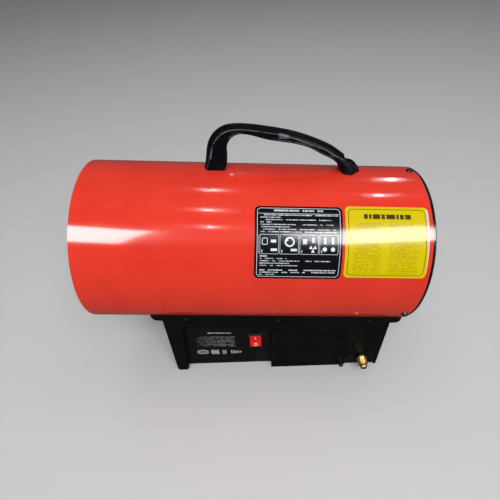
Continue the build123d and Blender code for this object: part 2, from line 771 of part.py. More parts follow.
# ---- base pan: floor sheet with a turned-up rim, stepped in behind the window ----
pan_rim = 9.0
pan_step_x = 34.0
pan_near_front = 68.5
pan_near_rear = 74.9
with BuildPart() as base_pan:
    pan_start = base_front + base_sheet + end_gap
    pan_end = base_rear - base_sheet - end_gap
    with BuildSketch(Plane.XY) as plan:
        Polygon(
            (pan_start, inner_half_width),
            (pan_start, -pan_near_front),
            (pan_step_x, -pan_near_front),
            (pan_step_x, -pan_near_rear),
            (pan_end, -pan_near_rear),
            (pan_end, inner_half_width),
            align=None,
        )
    extrude(plan.sketch, amount=pan_rim)
    with BuildSketch(Plane.XY.offset(base_sheet)) as hollow:
        offset(plan.sketch_local, amount=-base_sheet, kind=Kind.INTERSECTION)
    extrude(hollow.sketch, amount=pan_rim, mode=Mode.SUBTRACT)
finish(base_pan, "base_pan")

# ---- rocker switch ----
bezel_width = 20.0
bezel_height = 30.0
bezel_stand = 2.0
rocker_width = 14.6
rocker_swing = 11.0                # radius of the rocker's ends about its pivot
rocker_rest = 10.0                 # degrees either side of neutral; it rests with the upper end pressed
rocker_face = 3.0                  # of the rocker's middle in front of its pivot
rocker_floor = -3.0
pivot_depth = 3.2                  # of the pivot behind the bezel's face
pin_radius = 1.2
pin_reach = 1.2
bezel_face = panel_face + bezel_stand
switch_pivot = Vector(switch_x, -(bezel_face - pivot_depth), switch_z)
pocket_depth = 10.5

with BuildPart() as switch_housing:
    for distance, width, height, length, corner in (
        (bezel_face, bezel_width, bezel_height, bezel_stand, 2.0),
        (panel_face, switch_body_width, switch_body_height, 22.0, 1.0),
    ):
        middle = Vector(switch_x, -distance, switch_z)
        block(Plane(origin=middle, x_dir=(1, 0, 0), z_dir=near), width, height, -length, corner)
    fillet(switch_housing.faces().sort_by(Axis.Y)[0].edges(), radius=0.9)
    pocket = Plane(origin=Vector(switch_x, -bezel_face, switch_z), x_dir=(1, 0, 0), z_dir=near)
    block(pocket, rocker_width + 0.8, 2 * rocker_swing + 1, -pocket_depth, mode=Mode.SUBTRACT)
    pin_start = switch_pivot - Vector(rocker_width / 2 + pin_reach + 0.1, 0, 0)
    pin_axis = Plane(origin=pin_start, z_dir=(1, 0, 0))
    disc(pin_axis, pin_radius + running_gap, rocker_width + 2 * pin_reach + 0.2, Mode.SUBTRACT)
    for side in (-1, 0, 1):
        tab = Vector(switch_x, -(panel_face - 22), switch_z + side * 10)
        block(Plane(origin=tab, x_dir=(1, 0, 0), z_dir=(0, 1, 0)), 6.3, 0.8, 8)
finish(switch_housing, "switch_housing")

with BuildPart() as switch_rocker:
    lean = radians(rocker_rest)
    rocker_side = switch_pivot - Vector(rocker_width / 2, 0, 0)
    profile_plane = Plane(origin=rocker_side, x_dir=(0, sin(lean), cos(lean)), z_dir=(1, 0, 0))
    with BuildSketch(profile_plane) as profile:
        Circle(rocker_swing)
        reach = rocker_swing + 0.1
        Polygon(
            (-reach, rocker_floor),
            (reach, rocker_floor),
            (reach, rocker_face + reach * tan(lean)),
            (0, rocker_face),
            (-reach, rocker_face + reach * tan(lean)),
            align=None,
            mode=Mode.INTERSECT,
        )
    extrude(profile.sketch, amount=rocker_width)
    disc(profile_plane.offset(-pin_reach), pin_radius, rocker_width + 2 * pin_reach)
finish(switch_rocker, "switch_rocker")


# ---- gas inlet, safety valve and its button ----
def gas_plane(x, distance):
    """Faces the near side, at the height of the gas inlet."""
    return Plane(origin=(x, -distance, inlet_z), x_dir=(1, 0, 0), z_dir=near)


thread_radius = 6.6
thread_start = 80.1
lock_seat_radius = 6.35            # of the plain seat under the lock nut, behind the thread
tail_radius = 6.2                  # of the inlet behind the plate, held by its nut
tip_radius = 4.5
tip_end = 95.5                     # distances of the inlet's steps from the base's middle
tip_start = 90.5
thread_end = 89.5
collar_nut_depth = 3.3
inlet_inner_end = 60.0
plate_back = 75.0
plate_front = base_half_width - base_sheet - end_gap
valve_face = 66.0
valve_depth = 24.0
valve_height = 24.0
valve_front_x = 105.0
valve_rear_x = 160.0

with BuildPart() as gas_inlet:
    disc(gas_plane(inlet_x, thread_start), thread_radius, thread_end - thread_start)
    chamfer(gas_inlet.edges().filter_by(GeomType.CIRCLE).sort_by(Axis.Y)[0], length=0.8)
    seat_length = thread_start - plate_front + 0.95
    disc(gas_plane(inlet_x, plate_front + 0.05), lock_seat_radius, seat_length)
    disc(gas_plane(inlet_x, inlet_inner_end), tail_radius, thread_end - inlet_inner_end - 1)
    disc(gas_plane(inlet_x, thread_end - 1), 5.2, tip_start - thread_end + 1)
    disc(gas_plane(inlet_x, tip_start - 0.5), tip_radius, tip_end - tip_start + 0.5)
    fillet(gas_inlet.edges().filter_by(GeomType.CIRCLE).sort_by(Axis.Y)[0], radius=2.0)
    disc(gas_plane(inlet_x, inlet_inner_end - 1), 2.2, 45, Mode.SUBTRACT)
finish(gas_inlet, "gas_inlet")

with BuildPart() as inlet_nut:
    hexagon(gas_plane(inlet_x, plate_back - 5.1), 19, 5)
    disc(gas_plane(inlet_x, plate_back - 6), tail_radius + 0.02, 7, Mode.SUBTRACT)
finish(inlet_nut, "inlet_nut")

with BuildPart() as inlet_lock_nut:
    hexagon(gas_plane(inlet_x, plate_front + 0.1), 17, collar_nut_depth)
    disc(gas_plane(inlet_x, plate_front), lock_seat_radius + 0.02, 7, Mode.SUBTRACT)
finish(inlet_lock_nut, "inlet_lock_nut")

inlet_screw_places = [(135.0, 14.5), (164.0, 14.5)]
with BuildPart() as inlet_plate:
    with BuildSketch(side_plane(plate_back)) as face:
        with Locations((146.0, 19.5)):
            RectangleRounded(46, 36, 3)
        with Locations((inlet_x, inlet_z)):
            Circle(tail_radius + 0.1, mode=Mode.SUBTRACT)
        with Locations(*inlet_screw_places):
            Circle(1.6, mode=Mode.SUBTRACT)
    extrude(face.sketch, amount=plate_front - plate_back)
finish(inlet_plate, "inlet_plate")

with BuildPart() as inlet_screws:
    for x, z in inlet_screw_places:
        head = Plane(origin=(x, -(plate_front + 0.02), z), x_dir=(1, 0, 0), z_dir=near)
        pan_screw(head, 2.4, 1.0, 1.5, 6)
finish(inlet_screws, "inlet_screws")

button_radius = 2.9
button_end = 91.0
button_travel = 5.0
stem_radius = 2.0
stem_inner_end = 55.0
collar_radius = 4.2
collar_front = 76.3
collar_back = 74.8
with BuildPart() as safety_valve:
    valve_back = gas_plane((valve_front_x + valve_rear_x) / 2, valve_face - valve_depth)
    block(valve_back, valve_rear_x - valve_front_x, valve_height, valve_depth, 3)
    disc(gas_plane(inlet_x, inlet_inner_end), tail_radius + 0.05, valve_depth, Mode.SUBTRACT)
    bore_end = stem_inner_end - button_travel - 1
    disc(gas_plane(button_x, bore_end), stem_radius + running_gap, valve_depth, Mode.SUBTRACT)
    outlet_plane = Plane(origin=(132, -54, inlet_z + valve_height / 2), z_dir=(0, 0, 1))
    hexagon(outlet_plane, 12, 7)
    disc(outlet_plane, 3.05, 8, Mode.SUBTRACT)
finish(safety_valve, "safety_valve")

with BuildPart() as valve_button:
    disc(gas_plane(button_x, stem_inner_end), stem_radius, button_end - stem_inner_end - 1)
    disc(gas_plane(button_x, collar_back), collar_radius, collar_front - collar_back)
    disc(gas_plane(button_x, collar_back), button_radius, button_end - collar_back)
    fillet(valve_button.faces().sort_by(Axis.Y)[0].edges(), radius=1.2)
finish(valve_button, "valve_button")

spring_wire = 0.35
spring_radius = 3.0
with BuildPart() as valve_spring:
    coil_plane = gas_plane(button_x, valve_face + spring_wire + 0.1)
    coil_length = collar_back - valve_face - 2 * spring_wire - 0.2
    coil_start = coil_plane.origin
    with BuildLine() as coil:
        Helix(coil_length / 4, coil_length, spring_radius, center=coil_start, direction=near)
    with BuildSketch(Plane(origin=coil.line @ 0, z_dir=coil.line % 0)) as wire:
        Circle(spring_wire)
    sweep(wire.sketch, path=coil.line, is_frenet=True)
finish(valve_spring, "valve_spring")

with BuildPart() as valve_bracket:
    foot = Plane(origin=(132, -54, base_sheet), x_dir=(1, 0, 0), z_dir=(0, 0, 1))
    block(foot, 34, 18, inlet_z - valve_height / 2 - base_sheet, 2)
finish(valve_bracket, "valve_bracket")

# ---- piezo igniter in the rear end plate ----
piezo_travel = 6.0
piezo_button_radius = 6.0
piezo_inner = 138.0
with BuildPart() as piezo_igniter:
    tail = Plane(origin=(piezo_inner, piezo_y, piezo_z), z_dir=(1, 0, 0))
    disc(tail, 8.0, base_rear - piezo_inner + 1)
    disc(tail.offset(base_rear + 0.05 - piezo_inner), 11.0, 2)
    fillet(piezo_igniter.faces().sort_by(Axis.X)[-1].edges(), radius=0.8)
    disc(tail.offset(12), piezo_button_radius + fit_gap, 30, Mode.SUBTRACT)
finish(piezo_igniter, "piezo_igniter")

with BuildPart() as piezo_nut:
    hexagon(tail.offset(base_rear - base_sheet - 4.1 - piezo_inner), 22, 4)
    disc(tail, 8.02, 60, Mode.SUBTRACT)
finish(piezo_nut, "piezo_nut")

with BuildPart() as piezo_button:
    disc(tail.offset(12 + piezo_travel + 1), piezo_button_radius, base_rear + 11 - piezo_inner - 19)
    fillet(piezo_button.faces().sort_by(Axis.X)[-1].edges(), radius=1.5)
finish(piezo_button, "piezo_button")

# ---- cable gland and terminal block ----
gland_hole = 3.6
with BuildPart() as cable_gland:
    inside = Plane(origin=(base_rear - base_sheet - 10, gland_y, gland_z), z_dir=(1, 0, 0))
    disc(inside, 6.0, 12)
    hexagon(inside.offset(10 + base_sheet + 0.05), 19, 5)
    disc(inside.offset(15 + base_sheet), 8.4, 9)
    fillet(cable_gland.faces().sort_by(Axis.X)[-1].edges(), radius=3)
    hexagon(inside.offset(5.5), 17, 4.4)
    disc(inside.offset(-1), gland_hole, 40, Mode.SUBTRACT)
finish(cable_gland, "cable_gland")

with BuildPart() as terminal_block:
    bottom = Plane(origin=(60, 30, base_sheet), x_dir=(1, 0, 0), z_dir=(0, 0, 1))
    block(bottom, 40, 22, 8, 1)
    block(bottom.offset(8), 40, 12, 8)
    with BuildSketch(bottom.offset(10)) as screws:
        with GridLocations(12, 0, 3, 1):
            Circle(2.5)
    extrude(screws.sketch, amount=10, mode=Mode.SUBTRACT)
finish(terminal_block, "terminal_block")

# ---- gas pipe and the two leads, from the barrel down into the base ----
with BuildPart() as gas_pipe:
    gas_route = [
        point_at(jet_rear, 0, 0),
        point_at(pipe_hole_station, 0, 0),
        point_at(pipe_hole_station, 0, -124),
        Vector(132, -54, 46),
        Vector(132, -54, inlet_z + valve_height / 2 + 0.5),
    ]
    pipe(gas_route, [12, 12, 8], 3.0)
finish(gas_pipe, "gas_pipe")

with BuildPart() as ignition_lead:
    start = barrel_middle + outward(probe_angles["electrode"]) * probe_radius
    spark_route = [
        start + along * 46,
        start + along * 62,
        point_at(74, 16, -40),
        point_at(pipe_hole_station, 5.8, -84),
        point_at(pipe_hole_station, 5.8, -112),
        Vector(112, piezo_y, piezo_z),
        Vector(piezo_inner, piezo_y, piezo_z),
    ]
    pipe(spark_route, [8, 8, 8, 8, 8], 1.5)
finish(ignition_lead, "ignition_lead")

with BuildPart() as thermocouple_lead:
    start = barrel_middle + outward(probe_angles["thermocouple"]) * probe_radius
    sensor_route = [
        start + along * 40,
        start + along * 62,
        point_at(74, -16, -40),
        point_at(pipe_hole_station, -5.8, -84),
        point_at(pipe_hole_station, -5.8, -148),
        Vector(90, -54, inlet_z),
        Vector(valve_front_x, -54, inlet_z),
    ]
    pipe(sensor_route, [8, 8, 8, 10, 6], 1.0)
finish(thermocouple_lead, "thermocouple_lead")
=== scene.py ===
import json
import math
import bpy
import numpy as np
from mathutils import Matrix, Vector


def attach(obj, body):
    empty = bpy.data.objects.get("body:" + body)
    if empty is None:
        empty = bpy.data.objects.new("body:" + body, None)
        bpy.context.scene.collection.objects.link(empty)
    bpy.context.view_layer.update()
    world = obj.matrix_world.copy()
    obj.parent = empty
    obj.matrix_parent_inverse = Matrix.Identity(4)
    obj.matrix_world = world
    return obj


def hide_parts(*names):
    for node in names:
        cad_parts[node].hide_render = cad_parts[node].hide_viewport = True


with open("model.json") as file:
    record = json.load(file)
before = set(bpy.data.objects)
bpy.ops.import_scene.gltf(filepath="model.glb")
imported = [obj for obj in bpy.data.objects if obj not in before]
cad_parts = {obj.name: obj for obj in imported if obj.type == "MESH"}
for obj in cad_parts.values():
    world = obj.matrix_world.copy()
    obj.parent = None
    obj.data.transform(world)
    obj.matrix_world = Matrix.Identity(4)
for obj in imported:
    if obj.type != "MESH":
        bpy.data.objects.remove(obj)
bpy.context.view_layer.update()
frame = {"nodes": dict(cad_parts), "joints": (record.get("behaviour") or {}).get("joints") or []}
nodes = frame["nodes"]
scene = bpy.context.scene
print("frame loaded:", len(nodes), "nodes")

# Directions of the barrel, from the fan's spin axis: stations run along it from its middle, rear positive,
# side is towards the controls and height is square to both. All three are read in millimetres.
mm = 0.001
fanJoint = [joint for joint in frame["joints"] if joint["name"] == "fan_spin"][0]
along = np.array(fanJoint["axis"])
near = np.array((0.0, -1.0, 0.0))
upward = np.cross(near, along)
middle = np.array(fanJoint["pos_m"])
barrelRadius = 95.0
halfLength = 186.0

view = {
    "place": (0.0066, -0.3536, 0.4853),
    "yaw": -1.2286,       # degrees, to the left of straight on
    "pitch": 42.761,      # downwards
    "roll": 3.028,
    "lens": 26.62,        # for the sensor's width
    "sensor": 36,
    "nearest": 0.01,
}


def makeCamera():
    yaw, pitch, roll = (math.radians(view[turn]) for turn in ("yaw", "pitch", "roll"))
    forward = Vector((math.sin(yaw) * math.cos(pitch), math.cos(yaw) * math.cos(pitch), -math.sin(pitch)))
    level = Vector((math.cos(yaw), -math.sin(yaw), 0))
    down = forward.cross(level)
    right = level * math.cos(roll) + down * math.sin(roll)
    below = down * math.cos(roll) - level * math.sin(roll)
    camera = bpy.data.objects.new("camera", bpy.data.cameras.new("camera"))
    camera.matrix_world = Matrix((right, -below, -forward)).transposed().to_4x4()
    camera.location = view["place"]
    camera.data.lens = view["lens"]
    camera.data.sensor_width = view["sensor"]
    camera.data.clip_start = view["nearest"]
    scene.collection.objects.link(camera)
    scene.camera = camera
    scene.view_settings.view_transform = "Standard"


def operatorPair(operation):
    # the plain and the reflected form of one operator
    def plain(self, other):
        return self.bench.math(operation, self, other)

    def reflected(self, other):
        return self.bench.math(operation, other, self)

    return plain, reflected


class Wire:
    # one socket's value; sums on it become Math nodes
    def __init__(self, bench, socket):
        self.bench = bench
        self.socket = socket

    __add__, __radd__ = operatorPair("ADD")
    __sub__, __rsub__ = operatorPair("SUBTRACT")
    __mul__, __rmul__ = operatorPair("MULTIPLY")
    __truediv__, __rtruediv__ = operatorPair("DIVIDE")
    __gt__, __lt__ = operatorPair("GREATER_THAN")

    def __abs__(self):
        return self.bench.math("ABSOLUTE", self)


class Bench:
    # the node tree of one material or world; node() is the only place that adds a node to it
    def __init__(self, owner):
        self.owner = owner
        self.owner.use_nodes = True
        self.tree = self.owner.node_tree
        self.tree.nodes.clear()

    def node(self, kind, settings=None, sockets=None, out=0):
        made = self.tree.nodes.new("ShaderNode" + kind)
        for name, value in (settings or {}).items():
            if name == "stops":
                setStops(made.color_ramp, value)
            else:
                setattr(made, name, value)
        for name, value in (sockets or {}).items():
            if isinstance(value, Wire):
                self.tree.links.new(value.socket, made.inputs[name])
            else:
                made.inputs[name].default_value = value
        return Wire(self, made.outputs[out]) if made.outputs else None

    def math(self, operation, *values):
        return self.node("Math", {"operation": operation}, dict(enumerate(values)))

    def largest(self, first, *others):
        for other in others:
            first = self.math("MAXIMUM", first, other)
        return first

    def smallest(self, first, *others):
        for other in others:
            first = self.math("MINIMUM", first, other)
        return first

    def place(self):
        # Object coordinates in millimetres
        spot = self.node("TexCoord", out="Object")
        return self.node("VectorMath", {"operation": "SCALE"}, {0: spot, "Scale": 1 / mm})

    def fromMiddle(self):
        # the place from the barrel's middle, in millimetres
        return self.node("VectorMath", {"operation": "SUBTRACT"}, {0: self.place(), 1: tuple(middle / mm)})

    def dot(self, vector, direction):
        sockets = {0: vector, 1: tuple(direction)}
        return self.node("VectorMath", {"operation": "DOT_PRODUCT"}, sockets, "Value")

    def station(self, spot):
        return self.dot(spot, along)

    def radius(self, spot):
        # the distance from the barrel's axis
        side = self.dot(spot, near)
        height = self.dot(spot, upward)
        return self.math("SQRT", side * side + height * height)

    def angle(self, spot):
        # degrees above level, round the barrel's axis
        return self.math("ARCTAN2", self.dot(spot, upward), self.dot(spot, near)) * math.degrees(1)

    def stretch(self, vector, factors):
        return self.node("VectorMath", {"operation": "MULTIPLY"}, {0: vector, 1: tuple(factors)})

    def join(self, x, y, z=0.0):
        return self.node("CombineXYZ", None, {"X": x, "Y": y, "Z": z})

    def part(self, vector, axis):
        return self.node("SeparateXYZ", None, {0: vector}, axis)

    def ramp(self, value, low, high, start=0.0, end=1.0):
        # a smooth step from start at low to end at high
        limits = {"Value": value, "From Min": low, "From Max": high, "To Min": start, "To Max": end}
        return self.node("MapRange", {"interpolation_type": "SMOOTHSTEP"}, limits)

    def after(self, value, soft):
        # 1 where the value is above zero, with a soft edge
        return self.ramp(value, -soft, soft)

    def within(self, distance, soft):
        # 1 where the signed distance is below zero, with a soft edge
        return self.ramp(distance, soft, -soft)

    def noise(self, at, size, detail, roughness, *spread):
        # size is the pattern's grain in millimetres, and the two spread values become 0 and 1
        sockets = {"Vector": at, "Scale": 1 / size, "Detail": detail, "Roughness": roughness}
        value = self.node("TexNoise", None, sockets, "Fac")
        return self.ramp(value, *spread) if spread else value

    def specks(self, at, size, low, high):
        # round spots: 1 in the middle of some Voronoi cells
        value = self.node("TexVoronoi", None, {"Vector": at, "Scale": 1 / size}, "Distance")
        return self.ramp(value, high, low)

    def white(self, at):
        return self.node("TexWhiteNoise", {"noise_dimensions": "2D"}, {"Vector": at}, "Value")

    def table(self, value, rows):
        # one colour for each whole step of the value: a ramp with constant stops
        starts = [number for number in range(len(rows)) if number == 0 or rows[number] != rows[number - 1]]
        stops = [(number / len(rows), rows[number]) for number in starts]
        looked = self.node("ValToRGB", {"stops": stops}, {"Fac": (value + 0.5) / len(rows)})
        return [self.node("SeparateColor", None, {0: looked}, band) for band in ("Red", "Green", "Blue")]

    def mix(self, factor, first, second):
        # each colour is a wire, or three values from 0 to 255
        sockets = {0: factor}
        for socket, colour in ((6, first), (7, second)):
            sockets[socket] = colour if isinstance(colour, Wire) else colourOf(*colour)
        return self.node("Mix", {"data_type": "RGBA"}, sockets, 2)

    def band(self, value, centre, half, soft):
        # 1 within half of the centre, with soft edges
        return self.ramp(abs(value - centre), half + soft / 2, half - soft / 2)

    def patch(self, x, y, centre, halves, soft):
        return self.band(x, centre[0], halves[0], soft) * self.band(y, centre[1], halves[1], soft)

    def roundedDistance(self, x, y, centre, halves, corner):
        # signed distance to a rectangle with round corners, negative inside
        beyondX = abs(x - centre[0]) - (halves[0] - corner)
        beyondY = abs(y - centre[1]) - (halves[1] - corner)
        outX = self.largest(beyondX, 0.0)
        outY = self.largest(beyondY, 0.0)
        inside = self.smallest(self.largest(beyondX, beyondY), 0.0)
        return self.math("SQRT", outX * outX + outY * outY) + inside - corner

    def discDistance(self, x, y, centre, radius):
        offX = x - centre[0]
        offY = y - centre[1]
        return self.math("SQRT", offX * offX + offY * offY) - radius

    def bump(self, height, under=None):
        # height is in millimetres
        sockets = {"Height": height, "Distance": mm, "Strength": 1.0}
        if under:
            sockets["Normal"] = under
        return self.node("Bump", None, sockets)

    def rounded(self, radius):
        # the surface's direction with every edge rounded off by this radius in millimetres
        return self.node("Bevel", {"samples": 8}, {"Radius": radius * mm})

    def surface(self, colour, roughness, others):
        sockets = {"Base Color": colour, "Roughness": roughness, **others}
        self.node("OutputMaterial", None, {"Surface": self.node("BsdfPrincipled", None, sockets)})
        return self.owner


def setStops(ramp, stops):
    # the ramp starts with one stop at each end: the first is kept, and the last goes
    ramp.interpolation = "CONSTANT"
    for number, (place, colour) in enumerate(stops):
        stop = ramp.elements.new(place) if number else ramp.elements[0]
        stop.color = (*colour, 1.0)
    ramp.elements.remove(ramp.elements[-1])


def colourOf(red, green, blue):
    # a screen colour from 0 to 255 as a shader's linear values, by the inverse of the sRGB curve
    share = np.array((red, green, blue)) / 255
    linear = np.where(share <= 0.04045, share / 12.92, ((share + 0.055) / 1.055) ** 2.4)
    return (*linear.tolist(), 1.0)


def newBench(name):
    return Bench(bpy.data.materials.new(name))


# Each lamp: the direction from the barrel, the distance, width and height in metres and the power.
# The boxes are only reflected, as two broad highlights, and the ceiling lamps as short streaks.
lamps = {
    "leftBox": {
        "towards": (-0.40, -0.636, 0.664), "distance": 2.5, "size": (0.80, 0.80), "power": 32,
        "diffuse": False,
    },
    "rightBox": {
        "towards": (0.46, -0.621, 0.692), "distance": 2.5, "size": (1.22, 0.72), "power": 43,
        "diffuse": False,
    },
    "keySoft": {
        "towards": (0.05, -0.62, 0.72), "distance": 2.5, "size": (2.6, 1.2), "power": 70,
        "glossy": False,
    },
    "topSoft": {
        "towards": (0.05, 0.12, 1.0), "distance": 2.2, "size": (2.2, 1.6), "power": 14,
        "glossy": False,
    },
}
ceiling = {
    "distance": 3.0, "depth": 0.05, "powerPerWidth": 24.0,
    # each lamp's direction and its width
    "lamps": [
        ((-0.014, 0.416, 0.909), 0.08), ((-0.021, -0.130, 0.991), 0.08), ((-0.025, -0.529, 0.848), 0.06),
        ((0.008, 0.868, 0.496), 0.03), ((0.453, 0.338, 0.825), 0.08), ((0.452, 0.730, 0.512), 0.07),
    ],
}
for number, (towards, width) in enumerate(ceiling["lamps"]):
    lamps["ceiling" + str(number)] = {
        "towards": towards, "distance": ceiling["distance"], "size": (width, ceiling["depth"]),
        "power": ceiling["powerPerWidth"] * width, "diffuse": False,
    }
lightTarget = Vector((0, -0.06, 0.24))
sky = {
    "colour": (0.93, 0.95, 1.0, 1), "strength": 0.24,
    "reflected": 0.09,        # reflections see a darker studio
}


def makeLights():
    for name, lamp in lamps.items():
        data = bpy.data.lights.new(name, "AREA")
        data.shape = "RECTANGLE"
        data.size, data.size_y = lamp["size"]
        data.energy = lamp["power"]
        light = bpy.data.objects.new(name, data)
        towards = Vector(lamp["towards"]).normalized()
        light.location = lightTarget + towards * lamp["distance"]
        light.rotation_euler = towards.to_track_quat("Z", "Y").to_euler()
        light.visible_glossy = lamp.get("glossy", True)
        light.visible_diffuse = lamp.get("diffuse", True)
        scene.collection.objects.link(light)


def makeSky():
    bench = Bench(bpy.data.worlds.new("studio"))
    isReflected = bench.node("LightPath", out="Is Glossy Ray")
    strength = bench.ramp(isReflected, 0.0, 1.0, sky["strength"], sky["reflected"])
    background = bench.node("Background", None, {"Color": sky["colour"], "Strength": strength})
    bench.node("OutputWorld", None, {"Surface": background})
    scene.world = bench.owner


# In the dictionaries below a noise pattern is its grain in millimetres, detail and roughness, then the two
# middle values that are spread over 0 to 1. Spots are their grain and the two distances they fade between.
redPaint = {
    "colour": (216, 54, 36), "deep": (198, 42, 29), "blotch": (70.0, 3, 0.5, 0.35, 0.7), "blotchShare": 0.5,
    "dust": (190, 120, 105), "dustSpots": (9.0, 0.0, 0.05), "dustArea": (30.0, 2, 0.5, 0.55, 0.7),
    "dustShare": 0.5,
    "inside": (150, 34, 24), "skin": (0.3, 0.7),       # the depths over which the inside's colour comes in
    "bare": (120, 112, 108), "chips": (4.0, 4, 0.6, 0.52, 0.60),
    "rim": (0.8, 0.15),                                # mm from either end where chips start and are full
    "soot": (44, 30, 28), "sootStations": (-60.0, -175.0), "sootCloud": (40.0, 4, 0.6, 0.25, 0.75),
    "sootShare": 0.75,
    "roughness": 0.13, "insideRoughness": 0.42, "chipRoughness": 0.3,
    "haze": (45.0, 4, 0.6, 0.4, 0.75), "hazeShare": 0.035,
    "peel": (2.2, 1, 0.4), "peelHeight": 0.0028,
    "wave": (60.0, 1, 0.4), "waveStretch": (0.35, 1, 1), "waveHeight": 0.0025,
    "index": 1.5, "coat": 0.35,
}


def makeRedPaint():
    look = redPaint
    bench = newBench("redPaint")
    spot = bench.fromMiddle()
    station = bench.station(spot)
    inner = bench.ramp(bench.radius(spot), *(barrelRadius - depth for depth in look["skin"]))
    paint = bench.mix(bench.noise(spot, *look["blotch"]) * look["blotchShare"], look["colour"], look["deep"])
    dust = bench.specks(spot, *look["dustSpots"]) * bench.noise(spot, *look["dustArea"])
    paint = bench.mix(dust * look["dustShare"], paint, look["dust"])
    paint = bench.mix(inner, paint, look["inside"])
    # both rims have lost a little paint
    edge = bench.ramp(abs(station), *(halfLength - depth for depth in look["rim"]))
    chips = edge * bench.noise(spot, *look["chips"])
    paint = bench.mix(chips, paint, look["bare"])
    # soot and heat inside the outlet
    soot = inner * bench.ramp(station, *look["sootStations"]) * bench.noise(spot, *look["sootCloud"])
    paint = bench.mix(soot * look["sootShare"], paint, look["soot"])
    haze = bench.noise(spot, *look["haze"]) * look["hazeShare"]
    roughness = bench.ramp(inner, 0.0, 1.0, look["roughness"], look["insideRoughness"])
    roughness = roughness + haze + chips * look["chipRoughness"]
    peel = bench.noise(spot, *look["peel"]) * look["peelHeight"]
    wave = bench.noise(bench.stretch(spot, look["waveStretch"]), *look["wave"]) * look["waveHeight"]
    others = {"Normal": bench.bump(peel + wave), "IOR": look["index"], "Coat Weight": look["coat"]}
    return bench.surface(paint, roughness, others)


blackPaint = {
    "colour": (9, 9, 10), "worn": (20, 20, 20), "cloud": (24.0, 4, 0.6, 0.35, 0.8), "scuffAndGlintShare": 0.35,
    "dust": (78, 75, 72), "specks": (2.6, 0.0, 0.16), "speckArea": (14.0, 2, 0.5, 0.5, 0.62),
    "speckShare": 0.30, "film": (36.0, 5, 0.65, 0.5, 0.85), "filmShare": 0.22,
    # the film's share everywhere, how much more lies at the floor and the height in mm where that ends
    "everywhere": 0.25, "lowMore": 0.5, "lowTo": 45.0,
    "scratch": (1.1, 1, 0.5, 0.735, 0.78), "scratchStretch": (0.08, 1, 1.2),
    "scratchArea": (50.0, 1, 0.5, 0.5, 0.6), "scratchShare": 0.5,
    "roughness": 0.40, "dustRoughness": 0.5, "cloudRoughness": 0.06,
    "grain": (0.55, 2, 0.5), "grainHeight": 0.008, "edge": 0.5, "shine": 0.12,
}
greyPlate = {**blackPaint, "colour": (20, 20, 22), "worn": (31, 31, 32)}


def paintedBlack(bench, spot, look=blackPaint):
    # powder coat: fine grain, light dust that thickens towards the floor, a few scuffs
    cloud = bench.noise(spot, *look["cloud"])
    paint = bench.mix(cloud * look["scuffAndGlintShare"], look["colour"], look["worn"])
    low = bench.ramp(bench.part(spot, "Z"), look["lowTo"], 0.0) * look["lowMore"] + look["everywhere"]
    specks = bench.specks(spot, *look["specks"]) * bench.noise(spot, *look["speckArea"])
    film = bench.noise(spot, *look["film"]) * low
    dust = bench.largest(specks * look["speckShare"], film * look["filmShare"])
    paint = bench.mix(dust, paint, look["dust"])
    scratch = bench.noise(bench.stretch(spot, look["scratchStretch"]), *look["scratch"])
    scratch = scratch * bench.noise(spot, *look["scratchArea"])
    paint = bench.mix(scratch * look["scratchShare"], paint, look["dust"])
    roughness = look["roughness"] + dust * look["dustRoughness"] + cloud * look["cloudRoughness"]
    return paint, roughness, bench.noise(spot, *look["grain"]) * look["grainHeight"]


def makeBlackPaint(name, look):
    bench = newBench(name)
    paint, roughness, grain = paintedBlack(bench, bench.place(), look)
    relief = bench.bump(grain, bench.rounded(look["edge"]))
    return bench.surface(paint, roughness, {"Normal": relief, "Specular IOR Level": look["shine"]})


hoopBlack = {
    "colour": (14, 14, 15), "smeared": (40, 38, 37), "smear": (18.0, 4, 0.6, 0.4, 0.8), "smearShare": 0.3,
    "bare": (96, 92, 88), "chips": (3.0, 3, 0.6, 0.70, 0.74), "chipShare": 0.4,
    "roughness": 0.16, "smearRoughness": 0.10, "chipRoughness": 0.3,
    "grain": (1.6, 2, 0.5), "grainHeight": 0.004, "coat": 0.4,
}


def makeHoopBlack():
    look = hoopBlack
    bench = newBench("hoopBlack")
    spot = bench.place()
    smear = bench.noise(spot, *look["smear"])
    paint = bench.mix(smear * look["smearShare"], look["colour"], look["smeared"])
    chips = bench.noise(spot, *look["chips"])
    paint = bench.mix(chips * look["chipShare"], paint, look["bare"])
    roughness = look["roughness"] + smear * look["smearRoughness"] + chips * look["chipRoughness"]
    relief = bench.bump(bench.noise(spot, *look["grain"]) * look["grainHeight"])
    return bench.surface(paint, roughness, {"Normal": relief, "Coat Weight": look["coat"]})


# plated or bare metals: the stain changes the tint slowly and is rougher, and a fine grain lies over it
metals = {
    "zinc_steel": {
        "name": "zincSteel", "colour": (186, 187, 184), "tint": (168, 160, 138), "roughness": 0.26,
    },
    "smoked_zinc": {
        "name": "smokedZinc", "colour": (74, 74, 78), "tint": (52, 50, 48), "roughness": 0.34,
    },
    "guard_chrome": {
        "name": "guardChrome", "colour": (204, 204, 206), "tint": (168, 160, 152), "roughness": 0.12,
        "grain": 3.0, "height": 0.002,
    },
    "brass": {
        "name": "brass", "colour": (246, 216, 146), "tint": (206, 168, 98), "roughness": 0.30,
        "grain": 1.0, "height": 0.003, "stain": 4.0,
    },
    "copper_pipe": {
        "name": "copperPipe", "colour": (196, 118, 84), "tint": (132, 78, 58), "roughness": 0.24,
        "stain": 7.0,
    },
    "sensor_lead": {
        "name": "sensorLead", "colour": (186, 112, 78), "tint": (120, 74, 56), "roughness": 0.28,
        "stain": 5.0,
    },
}
metalBase = {
    "grain": 1.5, "grainKind": (3, 0.6), "height": 0.004, "grainRoughness": 0.10,
    "stain": 9.0, "stainKind": (4, 0.6, 0.35, 0.75), "stainRoughness": 0.12,
}


